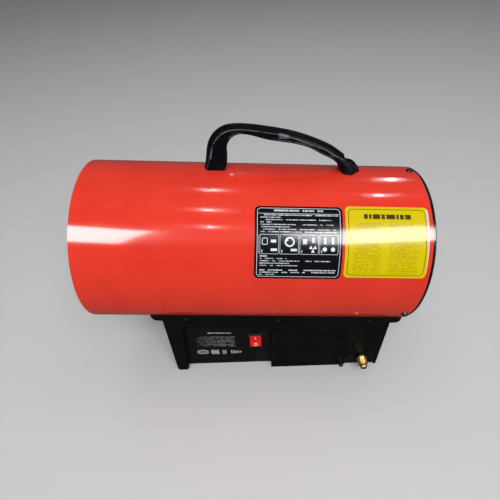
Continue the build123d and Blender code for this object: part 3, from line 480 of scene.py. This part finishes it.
def makeMetal(own):
    look = {**metalBase, **own}
    bench = newBench(look["name"])
    spot = bench.place()
    stain = bench.noise(spot, look["stain"], *look["stainKind"])
    shade = bench.mix(stain, look["colour"], look["tint"])
    grain = bench.noise(spot, look["grain"], *look["grainKind"])
    roughness = look["roughness"] + stain * look["stainRoughness"] + grain * look["grainRoughness"]
    return bench.surface(shade, roughness, {"Metallic": 1.0, "Normal": bench.bump(grain * look["height"])})


heatSteel = {
    "cool": (168, 164, 158),
    # each colour and the share of the heat over which it comes in
    "bands": [((176, 140, 92), 0.0, 0.35), ((112, 74, 92), 0.3, 0.55), ((74, 82, 112), 0.5, 0.8)],
    "stations": (60.0, -90.0), "wobble": (22.0, 4, 0.6), "wobbleReach": 60.0,
    "soot": (46, 42, 40), "sootCloud": (16.0, 5, 0.65, 0.45, 0.75), "sootShare": 0.7,
    "roughness": 0.30, "sootRoughness": 0.35, "metallic": 0.9,
    "grain": (0.9, 3, 0.6), "grainStretch": (0.1, 1, 1), "grainHeight": 0.008,
}


def makeHeatSteel():
    # sheet that has run hot: straw, purple and blue bands towards the flame, with soot over them
    look = heatSteel
    bench = newBench("heatSteel")
    spot = bench.fromMiddle()
    wobble = bench.noise(spot, *look["wobble"]) * look["wobbleReach"]
    heat = bench.ramp(bench.station(spot) + wobble, *look["stations"])
    shade = look["cool"]
    for colour, start, end in look["bands"]:
        shade = bench.mix(bench.ramp(heat, start, end), shade, colour)
    soot = bench.noise(spot, *look["sootCloud"])
    shade = bench.mix(soot * look["sootShare"], shade, look["soot"])
    grain = bench.noise(bench.stretch(spot, look["grainStretch"]), *look["grain"])
    roughness = look["roughness"] + soot * look["sootRoughness"]
    relief = bench.bump(grain * look["grainHeight"])
    return bench.surface(shade, roughness, {"Metallic": look["metallic"], "Normal": relief})


fanSheet = {
    "colour": (196, 198, 202), "dusty": (150, 146, 140), "dust": (12.0, 5, 0.65, 0.5, 0.8), "dustShare": 0.5,
    "grain": (0.8, 3, 0.6), "grainAlong": 0.04, "grainHeight": 0.006,
    "roughness": 0.28, "grainRoughness": 0.2, "dustRoughness": 0.2, "metallic": 0.95,
}


def makeFanAluminium():
    # pressed sheet: grain runs out from the hub, faint dust on it
    look = fanSheet
    bench = newBench("fanAluminium")
    spot = bench.fromMiddle()
    rays = bench.join(bench.radius(spot) * look["grainAlong"], bench.angle(spot), bench.station(spot))
    grain = bench.noise(rays, *look["grain"])
    dust = bench.noise(spot, *look["dust"])
    shade = bench.mix(dust * look["dustShare"], look["colour"], look["dusty"])
    roughness = look["roughness"] + grain * look["grainRoughness"] + dust * look["dustRoughness"]
    relief = bench.bump(grain * look["grainHeight"])
    return bench.surface(shade, roughness, {"Metallic": look["metallic"], "Normal": relief})


# moulded and painted small pieces, with slight handling marks in the second colour and a fine grain
plastics = {
    "black_screw": {
        "name": "blackScrew", "colour": (15, 15, 16), "tint": (52, 50, 48), "roughness": 0.30,
        "grain": 0.5, "height": 0.003,
    },
    "switch_black": {
        "name": "switchBlack", "colour": (14, 14, 15), "tint": (36, 36, 38), "roughness": 0.24,
        "grain": 0.5, "height": 0.003,
    },
    "button_black": {"name": "buttonBlack", "colour": (18, 18, 19), "tint": (44, 43, 43), "roughness": 0.36},
    "button_red": {
        "name": "buttonRed", "colour": (196, 28, 22), "tint": (150, 20, 17), "roughness": 0.25,
        "grain": 0.5, "height": 0.003,
    },
    "motor_paint": {
        "name": "motorPaint", "colour": (58, 62, 68), "tint": (88, 88, 88), "roughness": 0.34,
        "grain": 1.4, "height": 0.02,
    },
    "terminal_white": {
        "name": "terminalWhite", "colour": (214, 211, 200), "tint": (188, 180, 160), "roughness": 0.34,
    },
    "lead_insulation": {
        "name": "leadInsulation", "colour": (132, 44, 32), "tint": (92, 34, 28), "roughness": 0.46,
        "grain": 0.8, "height": 0.01,
    },
}
plasticBase = {
    "grain": 0.7, "grainKind": (2, 0.5), "height": 0.006,
    "marks": (8.0, 4, 0.6, 0.45, 0.8), "markShare": 0.5, "markRoughness": 0.10,
}


def makePlastic(own):
    look = {**plasticBase, **own}
    bench = newBench(look["name"])
    spot = bench.place()
    marks = bench.noise(spot, *look["marks"])
    shade = bench.mix(marks * look["markShare"], look["colour"], look["tint"])
    grain = bench.noise(spot, look["grain"], *look["grainKind"])
    roughness = look["roughness"] + marks * look["markRoughness"]
    return bench.surface(shade, roughness, {"Normal": bench.bump(grain * look["height"])})


handleLook = {
    "colour": (8, 8, 13), "scuffed": (17, 16, 20), "rub": (11.0, 4, 0.6, 0.45, 0.8), "rubShare": 0.25,
    "turn": 10.5,             # degrees that the handle is set back by
    # the painted ridge highlight: its distance from the handle's middle plane, half its width and its
    # softness
    "ridgeHighlight": (8.98, 0.16, 0.12), "ridgeHighlightColour": (124, 122, 128), "ridgeHighlightBreaks": (7.0, 3, 0.6, 0.25, 0.6),
    "ridgeHighlightShare": 0.5,
    # lines that bound the painted ridge highlight from below: a station, the height there and the slope
    "arch": [(-45.5, 110.0, 12.0), (-38.0, 125.5, 0.4), (11.0, 133.0, -0.28), (46.8, 126.5, -0.43)],
    "archSoft": 0.5,
    # the worn place, a pale scuff with a painted highlight on it: its station and distance from the middle
    # plane, half its size and its softness
    "worn": ((31.5, 8.75), (5.0, 0.45), 2.4), "scuffAndGlintAbove": (130.8, 131.4), "scuffAndGlintColour": (146, 144, 150),
    "scuffAndGlintGrain": (2.2, 3, 0.6, 0.32, 0.5), "scuffAndGlintShare": 0.75,
    "roughness": 0.36, "rubRoughness": 0.10, "grain": (0.6, 2, 0.5), "grainHeight": 0.005,
    "edge": 0.5, "shine": 0.09,
}


def makeHandlePlastic():
    look = handleLook
    bench = newBench("handlePlastic")
    spot = bench.fromMiddle()
    station = bench.station(spot)
    rub = bench.noise(spot, *look["rub"])
    shade = bench.mix(rub * look["rubShare"], look["colour"], look["scuffed"])
    # a thin painted highlight runs along both long ridges, with one pale worn place on the near edge that
    # carries a painted highlight too
    turn = math.radians(look["turn"])
    across = bench.dot(spot, near * math.cos(turn) + upward * math.sin(turn))
    out = bench.dot(spot, upward * math.cos(turn) - near * math.sin(turn))
    arch = bench.smallest(*((station - at) * slope + level for at, level, slope in look["arch"]))
    # painted highlight: a pale broken line along both ridges, where the rounded edges catch the light
    ridgeHighlight = bench.band(abs(across), *look["ridgeHighlight"]) * bench.noise(spot, *look["ridgeHighlightBreaks"])
    ridgeHighlight = ridgeHighlight * bench.after(out - arch, look["archSoft"])
    shade = bench.mix(ridgeHighlight * look["ridgeHighlightShare"], shade, look["ridgeHighlightColour"])
    # a pale scuff on the near ridge that also carries a painted highlight
    worn = bench.patch(station, across, *look["worn"]) * bench.ramp(out, *look["scuffAndGlintAbove"])
    worn = worn * bench.noise(spot, *look["scuffAndGlintGrain"])
    shade = bench.mix(worn * look["scuffAndGlintShare"], shade, look["scuffAndGlintColour"])
    relief = bench.bump(bench.noise(spot, *look["grain"]) * look["grainHeight"], bench.rounded(look["edge"]))
    roughness = look["roughness"] + rub * look["rubRoughness"]
    return bench.surface(shade, roughness, {"Normal": relief, "Specular IOR Level": look["shine"]})


ceramic = {
    "colour": (226, 221, 210), "scorched": (112, 84, 62), "stations": (34.0, 14.0),
    "cloud": (4.0, 4, 0.6, 0.3, 0.7), "roughness": 0.35, "scorchRoughness": 0.3,
    "grain": (0.5, 2, 0.5), "grainHeight": 0.005,
}


def makeCeramic():
    look = ceramic
    bench = newBench("ceramic")
    spot = bench.fromMiddle()
    scorch = bench.ramp(bench.station(spot), *look["stations"]) * bench.noise(spot, *look["cloud"])
    shade = bench.mix(scorch, look["colour"], look["scorched"])
    relief = bench.bump(bench.noise(spot, *look["grain"]) * look["grainHeight"])
    return bench.surface(shade, look["roughness"] + scorch * look["scorchRoughness"], {"Normal": relief})


strokes = {
    # the width of a stroke and of a word in mm, and the share of a word that each row is shifted by
    "width": 0.62, "word": 3.1, "shift": 0.37,
    # the share of words that is left out, the weakest and strongest ink and the step between seeds
    "gaps": 0.13, "faint": 0.22, "full": 0.95, "seedStep": 40,
    # a row's middle and softness as shares of the pitch, the seed's step for its end and soft edges in mm
    "rowMiddle": 0.45, "rowSoft": 0.18, "endSeed": 7.0, "sideSoft": 0.2, "topSoft": 0.1,
}


def letters(bench, x, row, left, seed):
    # short strokes along a row: white noise sets each one's strength and leaves gaps between words
    wordCell = bench.math("FLOOR", (x - left) / strokes["word"] + row * strokes["shift"])
    strokeCell = bench.math("FLOOR", (x - left) / strokes["width"])
    words = bench.white(bench.join(wordCell, row + seed)) > strokes["gaps"]
    strength = bench.white(bench.join(strokeCell, row + seed + strokes["seedStep"]))
    return words * bench.ramp(strength, 0.0, 1.0, strokes["faint"], strokes["full"])


def strokeRows(bench, x, y, left, right, top, bottom, pitch, thickness, ragged, seed):
    # ruled rows of strokes between two edges; white noise ends each row early
    down = (top - y) / pitch
    row = bench.math("FLOOR", down)
    inRow = bench.band(down - row, strokes["rowMiddle"], thickness / 2, strokes["rowSoft"])
    end = right - bench.white(bench.join(row, seed + strokes["endSeed"])) * ragged
    sideSoft, topSoft = strokes["sideSoft"], strokes["topSoft"]
    frameX = bench.ramp(x, left - sideSoft, left + sideSoft) * bench.after(end - x, sideSoft)
    frameY = bench.ramp(y, bottom, bottom + topSoft) * bench.ramp(y, top, top - topSoft)
    return inRow * letters(bench, x, row, left, seed) * frameX * frameY


# the film and ink that both labels share
labelSheet = {
    "lift": 0.3,              # of the label's face from the barrel's skin
    "wear": (5.0, 3, 0.6, 0.62, 0.72), "wearShare": 0.4, "roughness": 0.17, "wearRoughness": 0.12,
    "ripple": (26.0, 2, 0.5), "rippleHeight": 0.012, "inkHeight": 0.002, "coat": 0.2, "shine": 0.38,
}


def labelReading(bench, label):
    # millimetres across the label from its front edge and up from its low edge, along the curved sheet
    spot = bench.fromMiddle()
    degree = math.radians(barrelRadius + labelSheet["lift"])
    x = bench.station(spot) - label["start"]
    y = (bench.angle(spot) - label["low"]) * degree
    return spot, x, y, label["end"] - label["start"], (label["high"] - label["low"]) * degree


def printed(bench, spot, ink, film, inkColour):
    look = labelSheet
    wear = bench.noise(spot, *look["wear"])
    shade = bench.mix(ink * (1.0 - wear * look["wearShare"]), film, inkColour)
    ripple = bench.noise(spot, *look["ripple"]) * look["rippleHeight"]
    relief = bench.bump(ripple + ink * look["inkHeight"])
    roughness = look["roughness"] + wear * look["wearRoughness"]
    others = {"Normal": relief, "Coat Weight": look["coat"], "Specular IOR Level": look["shine"]}
    return bench.surface(shade, roughness, others)


frontLabel = {
    "start": 1.2, "end": 91.6, "low": 16.5, "high": 62.9, "film": (9, 9, 11), "ink": (214, 219, 229),
    "margins": (2.6, 2.4), "corner": 4.0, "line": (0.28, 0.3), "lineShare": 0.8,
    "rule": (68.9, (41.5, 0.25), 0.2),
    # every row from the top: where it starts and ends across the label in mm, and its share of the pitch
    "top": 73.55, "pitch": 2.5, "rows": [
        (19.2, 72.3, 0.92), (0, 0, 0), (5.8, 85.8, 0.5), (5.8, 28, 0.45), (10.8, 79, 0.4), (5.8, 17.3, 0.6),
        (5.8, 81, 0.42), (5.8, 36, 0.42), (5.8, 85, 0.45), (5.8, 85, 0.45), *[(0, 0, 0)] * 9, (5.4, 13, 0.6),
        (5.4, 33, 0.42), (5.4, 79, 0.42), (5.4, 36, 0.42), (5.4, 45, 0.42), (0, 0, 0), (5.4, 84.5, 0.6),
        (5.4, 84, 0.5), (5.4, 21, 0.45), (0, 0, 0),
    ],
    # a full row's half thickness, its middle and its softness as shares of the pitch
    "stroke": 0.44, "rowMiddle": 0.5, "rowSoft": 0.08,
    "strokesFrom": 5.4, "seed": 3.0, "soft": 0.2,
    "longest": 100,           # mm that stand for 1 in the table of rows
    # four frames side by side, and in each one a small number mark
    "firstFrame": 15.0, "framePitch": 20.4, "frameHeight": 37.0, "frameHalves": (9.5, 9.9),
    "frameCorner": 0.8, "frameLine": (0.2, 0.3), "frameShare": 0.85, "framesFrom": 4.0,
    "framesTo": (86.8, 86.6),
    "mark": ((-7.4, -7.0), (0.35, 1.4), 0.3), "oneFrame": (0.3, 0.2),
    # the symbols, from the middle of their frame: place, half size and softness or corner
    "socket": ((-4.6, 3.0), (2.6, 3.2), 1.0), "socketLine": (0.3, 0.3), "plug": ((4.2, 3.2), (2.6, 1.5), 0.4),
    "note": ((4.8, -5.6), (3.2, 1.3), 0.4), "noteShare": 0.9,
    "dial": ((0.4, 2.6), 4.3), "dialLine": (0.8, 0.4), "pointer": ((-2.0, 4.6), (0.8, 1.2), 0.3),
    "star": ((4.0, -4.4), 3.8), "beams": 3.0, "beamEdge": (-0.1, 0.3),
    "square": ((-4.4, 3.0), (2.2, 2.6), 0.5), "squareShare": 0.8,
    "bar": ((4.2, 4.6), (1.3, 2.8), 0.4), "barShare": 0.55,
    "gauges": ((4.0, 4.2), (1.1, 3.6), 0.4), "gaugeShare": 0.7, "discs": ((4.2, -4.6), 2.2),
}


def makeFrontLabel():
    label = frontLabel
    bench = newBench("frontLabelPrint")
    spot, x, y, width, tall = labelReading(bench, label)
    halves = (width / 2 - label["margins"][0], tall / 2 - label["margins"][1])
    border = bench.roundedDistance(x, y, (width / 2, tall / 2), halves, label["corner"])
    ink = bench.band(border, 0.0, *label["line"]) * label["lineShare"]
    ruleAt, ruleHalves, ruleSoft = label["rule"]
    rule = bench.patch(x, y, (width / 2, ruleAt), ruleHalves, ruleSoft)
    ink = bench.largest(ink, rule * label["lineShare"])
    # the table holds values up to 1, so the rows' ends go in as shares of the longest
    soft, longest = label["soft"], label["longest"]
    down = (label["top"] - y) / label["pitch"]
    row = bench.math("FLOOR", down)
    rows = [(start / longest, end / longest, share) for start, end, share in label["rows"]]
    start, end, share = bench.table(row, rows)
    inside = bench.after(x - start * longest, soft) * bench.after(end * longest - x, soft)
    inRow = bench.after(share * label["stroke"] - abs(down - row - label["rowMiddle"]), label["rowSoft"])
    inside = inside * bench.ramp(y, label["top"], label["top"] - soft)
    ink = bench.largest(ink, inRow * inside * letters(bench, x, row, label["strokesFrom"], label["seed"]))
    # u and v run from the middle of each frame
    number = bench.math("FLOOR", (x - label["firstFrame"]) / label["framePitch"] + 0.5)
    u = x - label["firstFrame"] - number * label["framePitch"]
    v = y - label["frameHeight"]
    kept = (x > label["framesFrom"]) * bench.ramp(x, *label["framesTo"])
    frameLine = bench.roundedDistance(u, v, (0, 0), label["frameHalves"], label["frameCorner"])
    ink = bench.largest(ink, bench.band(frameLine, 0.0, *label["frameLine"]) * kept * label["frameShare"])
    ink = bench.largest(ink, bench.patch(u, v, *label["mark"]) * kept)
    oneFrame = label["oneFrame"]
    isFirst, isSecond, isThird, isFourth = (bench.band(number, place, *oneFrame) for place in range(4))
    # two plug halves with a note below
    socket = bench.band(bench.roundedDistance(u, v, *label["socket"]), 0.0, *label["socketLine"])
    plug = bench.patch(u, v, *label["plug"])
    note = bench.patch(u, v, *label["note"])
    ink = bench.largest(ink, bench.largest(socket, plug, note) * isFirst)
    # a dial with its pointer
    dial = bench.band(bench.discDistance(u, v, *label["dial"]), 0.0, *label["dialLine"])
    pointer = bench.patch(u, v, *label["pointer"])
    ink = bench.largest(ink, bench.largest(dial, pointer, note * label["noteShare"]) * isSecond)
    # a star of three beams, a solid square and a bar
    starU, starV = label["star"][0]
    turn = bench.math("ARCTAN2", v - starV, u - starU) * label["beams"]
    beams = bench.ramp(bench.math("SINE", turn), *label["beamEdge"])
    beams = beams * bench.within(bench.discDistance(u, v, *label["star"]), soft)
    square = bench.patch(u, v, *label["square"]) * label["squareShare"]
    bar = bench.patch(u, v, *label["bar"]) * label["barShare"]
    ink = bench.largest(ink, bench.largest(beams, square, bar) * isThird)
    # two gauges over two discs
    gauges = bench.patch(abs(u), v, *label["gauges"]) * label["gaugeShare"]
    discs = bench.within(bench.discDistance(abs(u), v, *label["discs"]), soft)
    ink = bench.largest(ink, bench.largest(gauges, discs) * isFourth)
    return printed(bench, spot, ink, label["film"], label["ink"])


rearLabel = {
    "start": 94.4, "end": 181.8, "low": 17.7, "high": 63.7, "film": (200, 179, 0), "ink": (62, 56, 20),
    "margins": (3.4, 3.2), "corner": 5.0, "line": (0.32, 0.3),
    # the heading: its height, half size and corner, then the width of its blocks and the share left out
    "heading": (65.4, (25.0, 2.6), 1.2), "soft": 0.2, "blocks": (1.3, 0.22), "blockSeed": 3.0,
    # two columns of rows: left, right, top, bottom, pitch, thickness, ragged end and seed
    "rows": [(8.5, 41.0, 58.6, 5.2, 2.36, 0.5, 9.0, 5.0), (45.5, 79.0, 58.6, 5.2, 2.36, 0.5, 9.0, 71.0)],
    "rowShare": 0.5,
    # the strip that has lifted: over which heights it widens, from which width to which, and its soft edge
    "lifted": (196, 193, 184), "liftedSpan": (2.0, 70.0, 0.3, 2.6), "liftedEdge": (-0.2, 0.3),
}


def makeRearLabel():
    label = rearLabel
    bench = newBench("rearLabelPrint")
    spot, x, y, width, tall = labelReading(bench, label)
    halves = (width / 2 - label["margins"][0], tall / 2 - label["margins"][1])
    border = bench.roundedDistance(x, y, (width / 2, tall / 2), halves, label["corner"])
    ink = bench.band(border, 0.0, *label["line"])
    headingAt, headingHalves, headingCorner = label["heading"]
    heading = bench.roundedDistance(x, y, (width / 2, headingAt), headingHalves, headingCorner)
    blockWidth, gaps = label["blocks"]
    blocks = bench.white(bench.join(bench.math("FLOOR", x / blockWidth), label["blockSeed"])) > gaps
    ink = bench.largest(ink, bench.within(heading, label["soft"]) * blocks)
    for rows in label["rows"]:
        ink = bench.largest(ink, strokeRows(bench, x, y, *rows) * label["rowShare"])
    # the rear edge has lifted and shows the paper's white side, most of all at the top
    reach = bench.ramp(y, *label["liftedSpan"])
    lifted = bench.ramp(x - (width - reach), *label["liftedEdge"])
    film = bench.mix(lifted, label["film"], label["lifted"])
    return printed(bench, spot, ink, film, label["ink"])


panelPrint = {
    "face": (-70.3, 0.25, 0.1),       # its y, half its depth and its softness
    "ink": (176, 176, 180), "inkShare": 0.85, "inkRoughness": 0.1, "shine": 0.3,
    "slope": 0.062,                   # the print runs parallel to the barrel
    "title": (-61.0, -29.4, 75.2, 72.0, 3.2, 0.95, 1.0, 13.0),
    "rows": (-78.0, -24.0, 66.4, 42.0, 3.5, 0.62, 12.0, 5.0),
    "rowsFade": (-78.0, -40.0, 0.22, 0.5),
    "oval": ((-72.5, 28.3), (8.0, 5.2), 5.0), "ovalSoft": 0.3, "ovalShare": 0.7,
    "ovalBar": ((-72.5, 28.3), (4.8, 1.5), 0.6), "ovalBarShare": 0.6,
    # the blocks beside it, each with its share of the ink
    "blocks": [((-55.4, 28.3), (5.6, 5.2), 0.8), ((-42.6, 28.3), (2.8, 5.0), 0.6)], "blockSoft": 0.5,
    # bars that get shorter one by one
    "bars": 5, "firstBar": (-32.4, 29.0), "barPitch": 3.1, "barHalves": (0.9, 4.4), "barLess": 0.5,
    "barSoft": 0.4,
}


def makePanelPrint():
    look = panelPrint
    bench = newBench("panelPrint")
    spot = bench.place()
    x, y, z = (bench.part(spot, axis) for axis in "XYZ")
    paint, roughness, grain = paintedBlack(bench, spot)
    up = z + x * look["slope"]
    ink = strokeRows(bench, x, up, *look["title"])
    ink = bench.largest(ink, strokeRows(bench, x, up, *look["rows"]) * bench.ramp(x, *look["rowsFade"]))
    oval = bench.within(bench.roundedDistance(x, up, *look["oval"]), look["ovalSoft"]) * look["ovalShare"]
    oval = oval - bench.patch(x, up, *look["ovalBar"]) * look["ovalBarShare"]
    ink = bench.largest(ink, oval)
    for centre, halves, share in look["blocks"]:
        ink = bench.largest(ink, bench.patch(x, up, centre, halves, look["blockSoft"]) * share)
    barX, barUp = look["firstBar"]
    halfWidth, halfHeight = look["barHalves"]
    for number in range(look["bars"]):
        centre = (barX + look["barPitch"] * number, barUp)
        halves = (halfWidth, halfHeight - look["barLess"] * number)
        ink = bench.largest(ink, bench.patch(x, up, centre, halves, look["barSoft"]))
    ink = ink * bench.band(y, *look["face"])
    shade = bench.mix(ink * look["inkShare"], paint, look["ink"])
    roughness = roughness - ink * look["inkRoughness"]
    return bench.surface(shade, roughness, {"Normal": bench.bump(grain), "Specular IOR Level": look["shine"]})


rockerLook = {
    "colour": (206, 26, 20), "deep": (172, 18, 16), "cloud": (6.0, 3, 0.6, 0.4, 0.8), "cloudShare": 0.4,
    # the face's middle in X and Z, and the Y in front of which the marks are printed
    "ink": (236, 230, 226), "middle": (1.6, 59.5), "front": -71.5,
    # heights above the middle, then the line's half size and softness and the ring's radius
    "line": (4.6, (0.45, 2.4), 0.3), "ring": (-6.0, 2.0), "ringLine": (0.32, 0.3), "inkDepth": 0.05,
    "roughness": 0.22, "cloudRoughness": 0.06, "grain": (0.6, 2, 0.5), "grainHeight": 0.003,
}


def makeRockerRed():
    # an upright line over a ring, both pressed a little into the face
    look = rockerLook
    bench = newBench("rockerRed")
    spot = bench.place()
    x, y, z = (bench.part(spot, axis) for axis in "XYZ")
    middleX, middleZ = look["middle"]
    lineUp, lineHalves, lineSoft = look["line"]
    ringUp, ringRadius = look["ring"]
    line = bench.patch(x, z, (middleX, middleZ + lineUp), lineHalves, lineSoft)
    circle = bench.discDistance(x, z, (middleX, middleZ + ringUp), ringRadius)
    ring = bench.band(circle, 0.0, *look["ringLine"])
    ink = bench.largest(line, ring) * (y < look["front"])
    cloud = bench.noise(spot, *look["cloud"])
    red = bench.mix(cloud * look["cloudShare"], look["colour"], look["deep"])
    shade = bench.mix(ink, red, look["ink"])
    grain = bench.noise(spot, *look["grain"]) * look["grainHeight"]
    relief = bench.bump(grain - ink * look["inkDepth"])
    return bench.surface(shade, look["roughness"] + cloud * look["cloudRoughness"], {"Normal": relief})


def makeSkin(name, grid):
    # grid is rows x columns x 3; neighbours are joined by quads and both ends are closed with a pole
    rows, columns = grid.shape[:2]
    poles = np.stack([grid[0].mean(0), grid[-1].mean(0)])
    points = np.concatenate([grid.reshape(-1, 3), poles])
    index = np.arange(rows * columns).reshape(rows, columns)
    beside = np.roll(index, -1, axis=1)
    quads = np.stack([index[:-1], beside[:-1], beside[1:], index[1:]], axis=-1).reshape(-1, 4)
    first = np.stack([np.full(columns, rows * columns), beside[0], index[0]], axis=-1)
    last = np.stack([np.full(columns, rows * columns + 1), index[-1], beside[-1]], axis=-1)
    # turn every face round if the enclosed volume comes out negative
    a, b, c, d = (points[quads[:, corner]] for corner in range(4))
    volume = (np.cross(b - a, c - a) * a).sum() + (np.cross(c - a, d - a) * a).sum()
    faces = quads.tolist() + first.tolist() + last.tolist()
    if volume < 0:
        faces = [face[::-1] for face in faces]
    mesh = bpy.data.meshes.new(name)
    mesh.from_pydata(points.tolist(), [], faces)
    mesh.update()
    mesh.shade_smooth()
    piece = bpy.data.objects.new(name, mesh)
    scene.collection.objects.link(piece)
    return piece


def evenly(points, count):
    # a broken line sampled at even steps along its length
    points = np.array(points, float)
    runs = np.concatenate([[0], np.cumsum(np.linalg.norm(np.diff(points, axis=0), axis=1))])
    at = np.linspace(0, runs[-1], count)
    return np.stack([np.interp(at, runs, points[:, axis]) for axis in range(points.shape[1])], axis=1)


inletForm = {
    "middle": (148.0, 19.0),      # X and Z
    "steps": [                    # distance from the base's middle and radius, from the tail outwards
        (60.0, 6.2), (76.5, 6.2), (76.55, 6.35), (80.0, 6.35), (80.1, 6.6), (88.6, 6.6),
        (89.4, 5.9), (89.5, 5.2), (90.3, 5.2), (90.5, 4.5), (93.4, 4.5), (94.4, 4.1),
        (95.1, 3.4), (95.5, 2.6), (95.5, 2.25), (86.0, 2.2), (80.0, 2.2),
    ],
    "samples": 330, "sides": 72,
    "threadStart": 80.4, "threadEnd": 88.8, "runOut": 0.8, "pitch": 1.337, "depth": 0.62,
}


def inletSkin():
    # A turned profile carried round the inlet's axis. Over the threaded length the radius drops by a
    # triangle wave of distance / pitch minus turn / 360, which is a helix.
    form = inletForm
    profile = evenly(form["steps"], form["samples"])
    turn = np.linspace(0, 2 * np.pi, form["sides"], endpoint=False)
    run = profile[:, :1] / form["pitch"] - turn[None, :] / (2 * np.pi)
    wave = np.abs((run % 1) * 2 - 1)
    outside = (np.arange(len(profile)) < np.argmax(profile[:, 0]))[:, None]
    start = np.clip((profile[:, :1] - form["threadStart"]) / form["runOut"], 0, 1)
    stop = np.clip((form["threadEnd"] - profile[:, :1]) / form["runOut"], 0, 1)
    radius = profile[:, 1:] - form["depth"] * wave * start * stop * outside
    x = form["middle"][0] + radius * np.cos(turn)
    z = form["middle"][1] + radius * np.sin(turn)
    y = np.broadcast_to(-profile[:, :1], x.shape)
    return np.stack([x, y, z], axis=-1) * mm


def addPiece(name, grid, slot, body, *replaced):
    piece = makeSkin(name, grid)
    piece.data.materials.append(finishes[slot])
    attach(piece, body)
    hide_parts(*replaced)


studioFloor = {
    "reach": 6.0, "drop": 0.0002, "colour": (196, 196, 195), "worn": (186, 186, 185),
    "cloud": (140.0, 4, 0.6), "cloudShare": 0.3, "roughness": 0.62,
}


def makeFloor():
    look = studioFloor
    reach = look["reach"]
    sides = [(-reach, -reach), (reach, -reach), (reach, reach), (-reach, reach)]
    corners = [(x, y, -look["drop"]) for x, y in sides]
    mesh = bpy.data.meshes.new("floor")
    mesh.from_pydata(corners, [], [(0, 1, 2, 3)])
    floor = bpy.data.objects.new("floor", mesh)
    scene.collection.objects.link(floor)
    bench = newBench("floorPale")
    cloud = bench.noise(bench.place(), *look["cloud"])
    shade = bench.mix(cloud * look["cloudShare"], look["colour"], look["worn"])
    mesh.materials.append(bench.surface(shade, look["roughness"], {}))
    floor.visible_glossy = False         # the paint reflects an even studio instead of the pale floor


makeCamera()
makeLights()
makeSky()
print("camera and lights set")

finishes = {
    "red_paint": makeRedPaint(),
    "black_paint": makeBlackPaint("blackPaint", blackPaint),
    "inlet_plate_grey": makeBlackPaint("inletPlateGrey", greyPlate),
    "hoop_black": makeHoopBlack(),
    "handle_plastic": makeHandlePlastic(),
    "heat_steel": makeHeatSteel(),
    "fan_aluminium": makeFanAluminium(),
    "ceramic_white": makeCeramic(),
    "label_black": makeFrontLabel(),
    "label_yellow": makeRearLabel(),
    "rocker_red": makeRockerRed(),
    **{slot: makeMetal(look) for slot, look in metals.items()},
    **{slot: makePlastic(look) for slot, look in plastics.items()},
}
# the nodes that don't wear their slot's own finish
ownFinish = {
    "control_panel": makePanelPrint(),
    "inlet_lock_nut": finishes["smoked_zinc"],
    "inlet_screws": finishes["smoked_zinc"],
}
for name, node in nodes.items():
    for place, material in enumerate(node.data.materials):
        slot = material.name.split(".")[0]
        node.data.materials[place] = ownFinish.get(name, finishes[slot])
print("finishes made:", len(finishes))

addPiece("gas_inlet_turned", inletSkin(), "brass", "heater", "gas_inlet")
print("new pieces made")

makeFloor()
print("floor made")
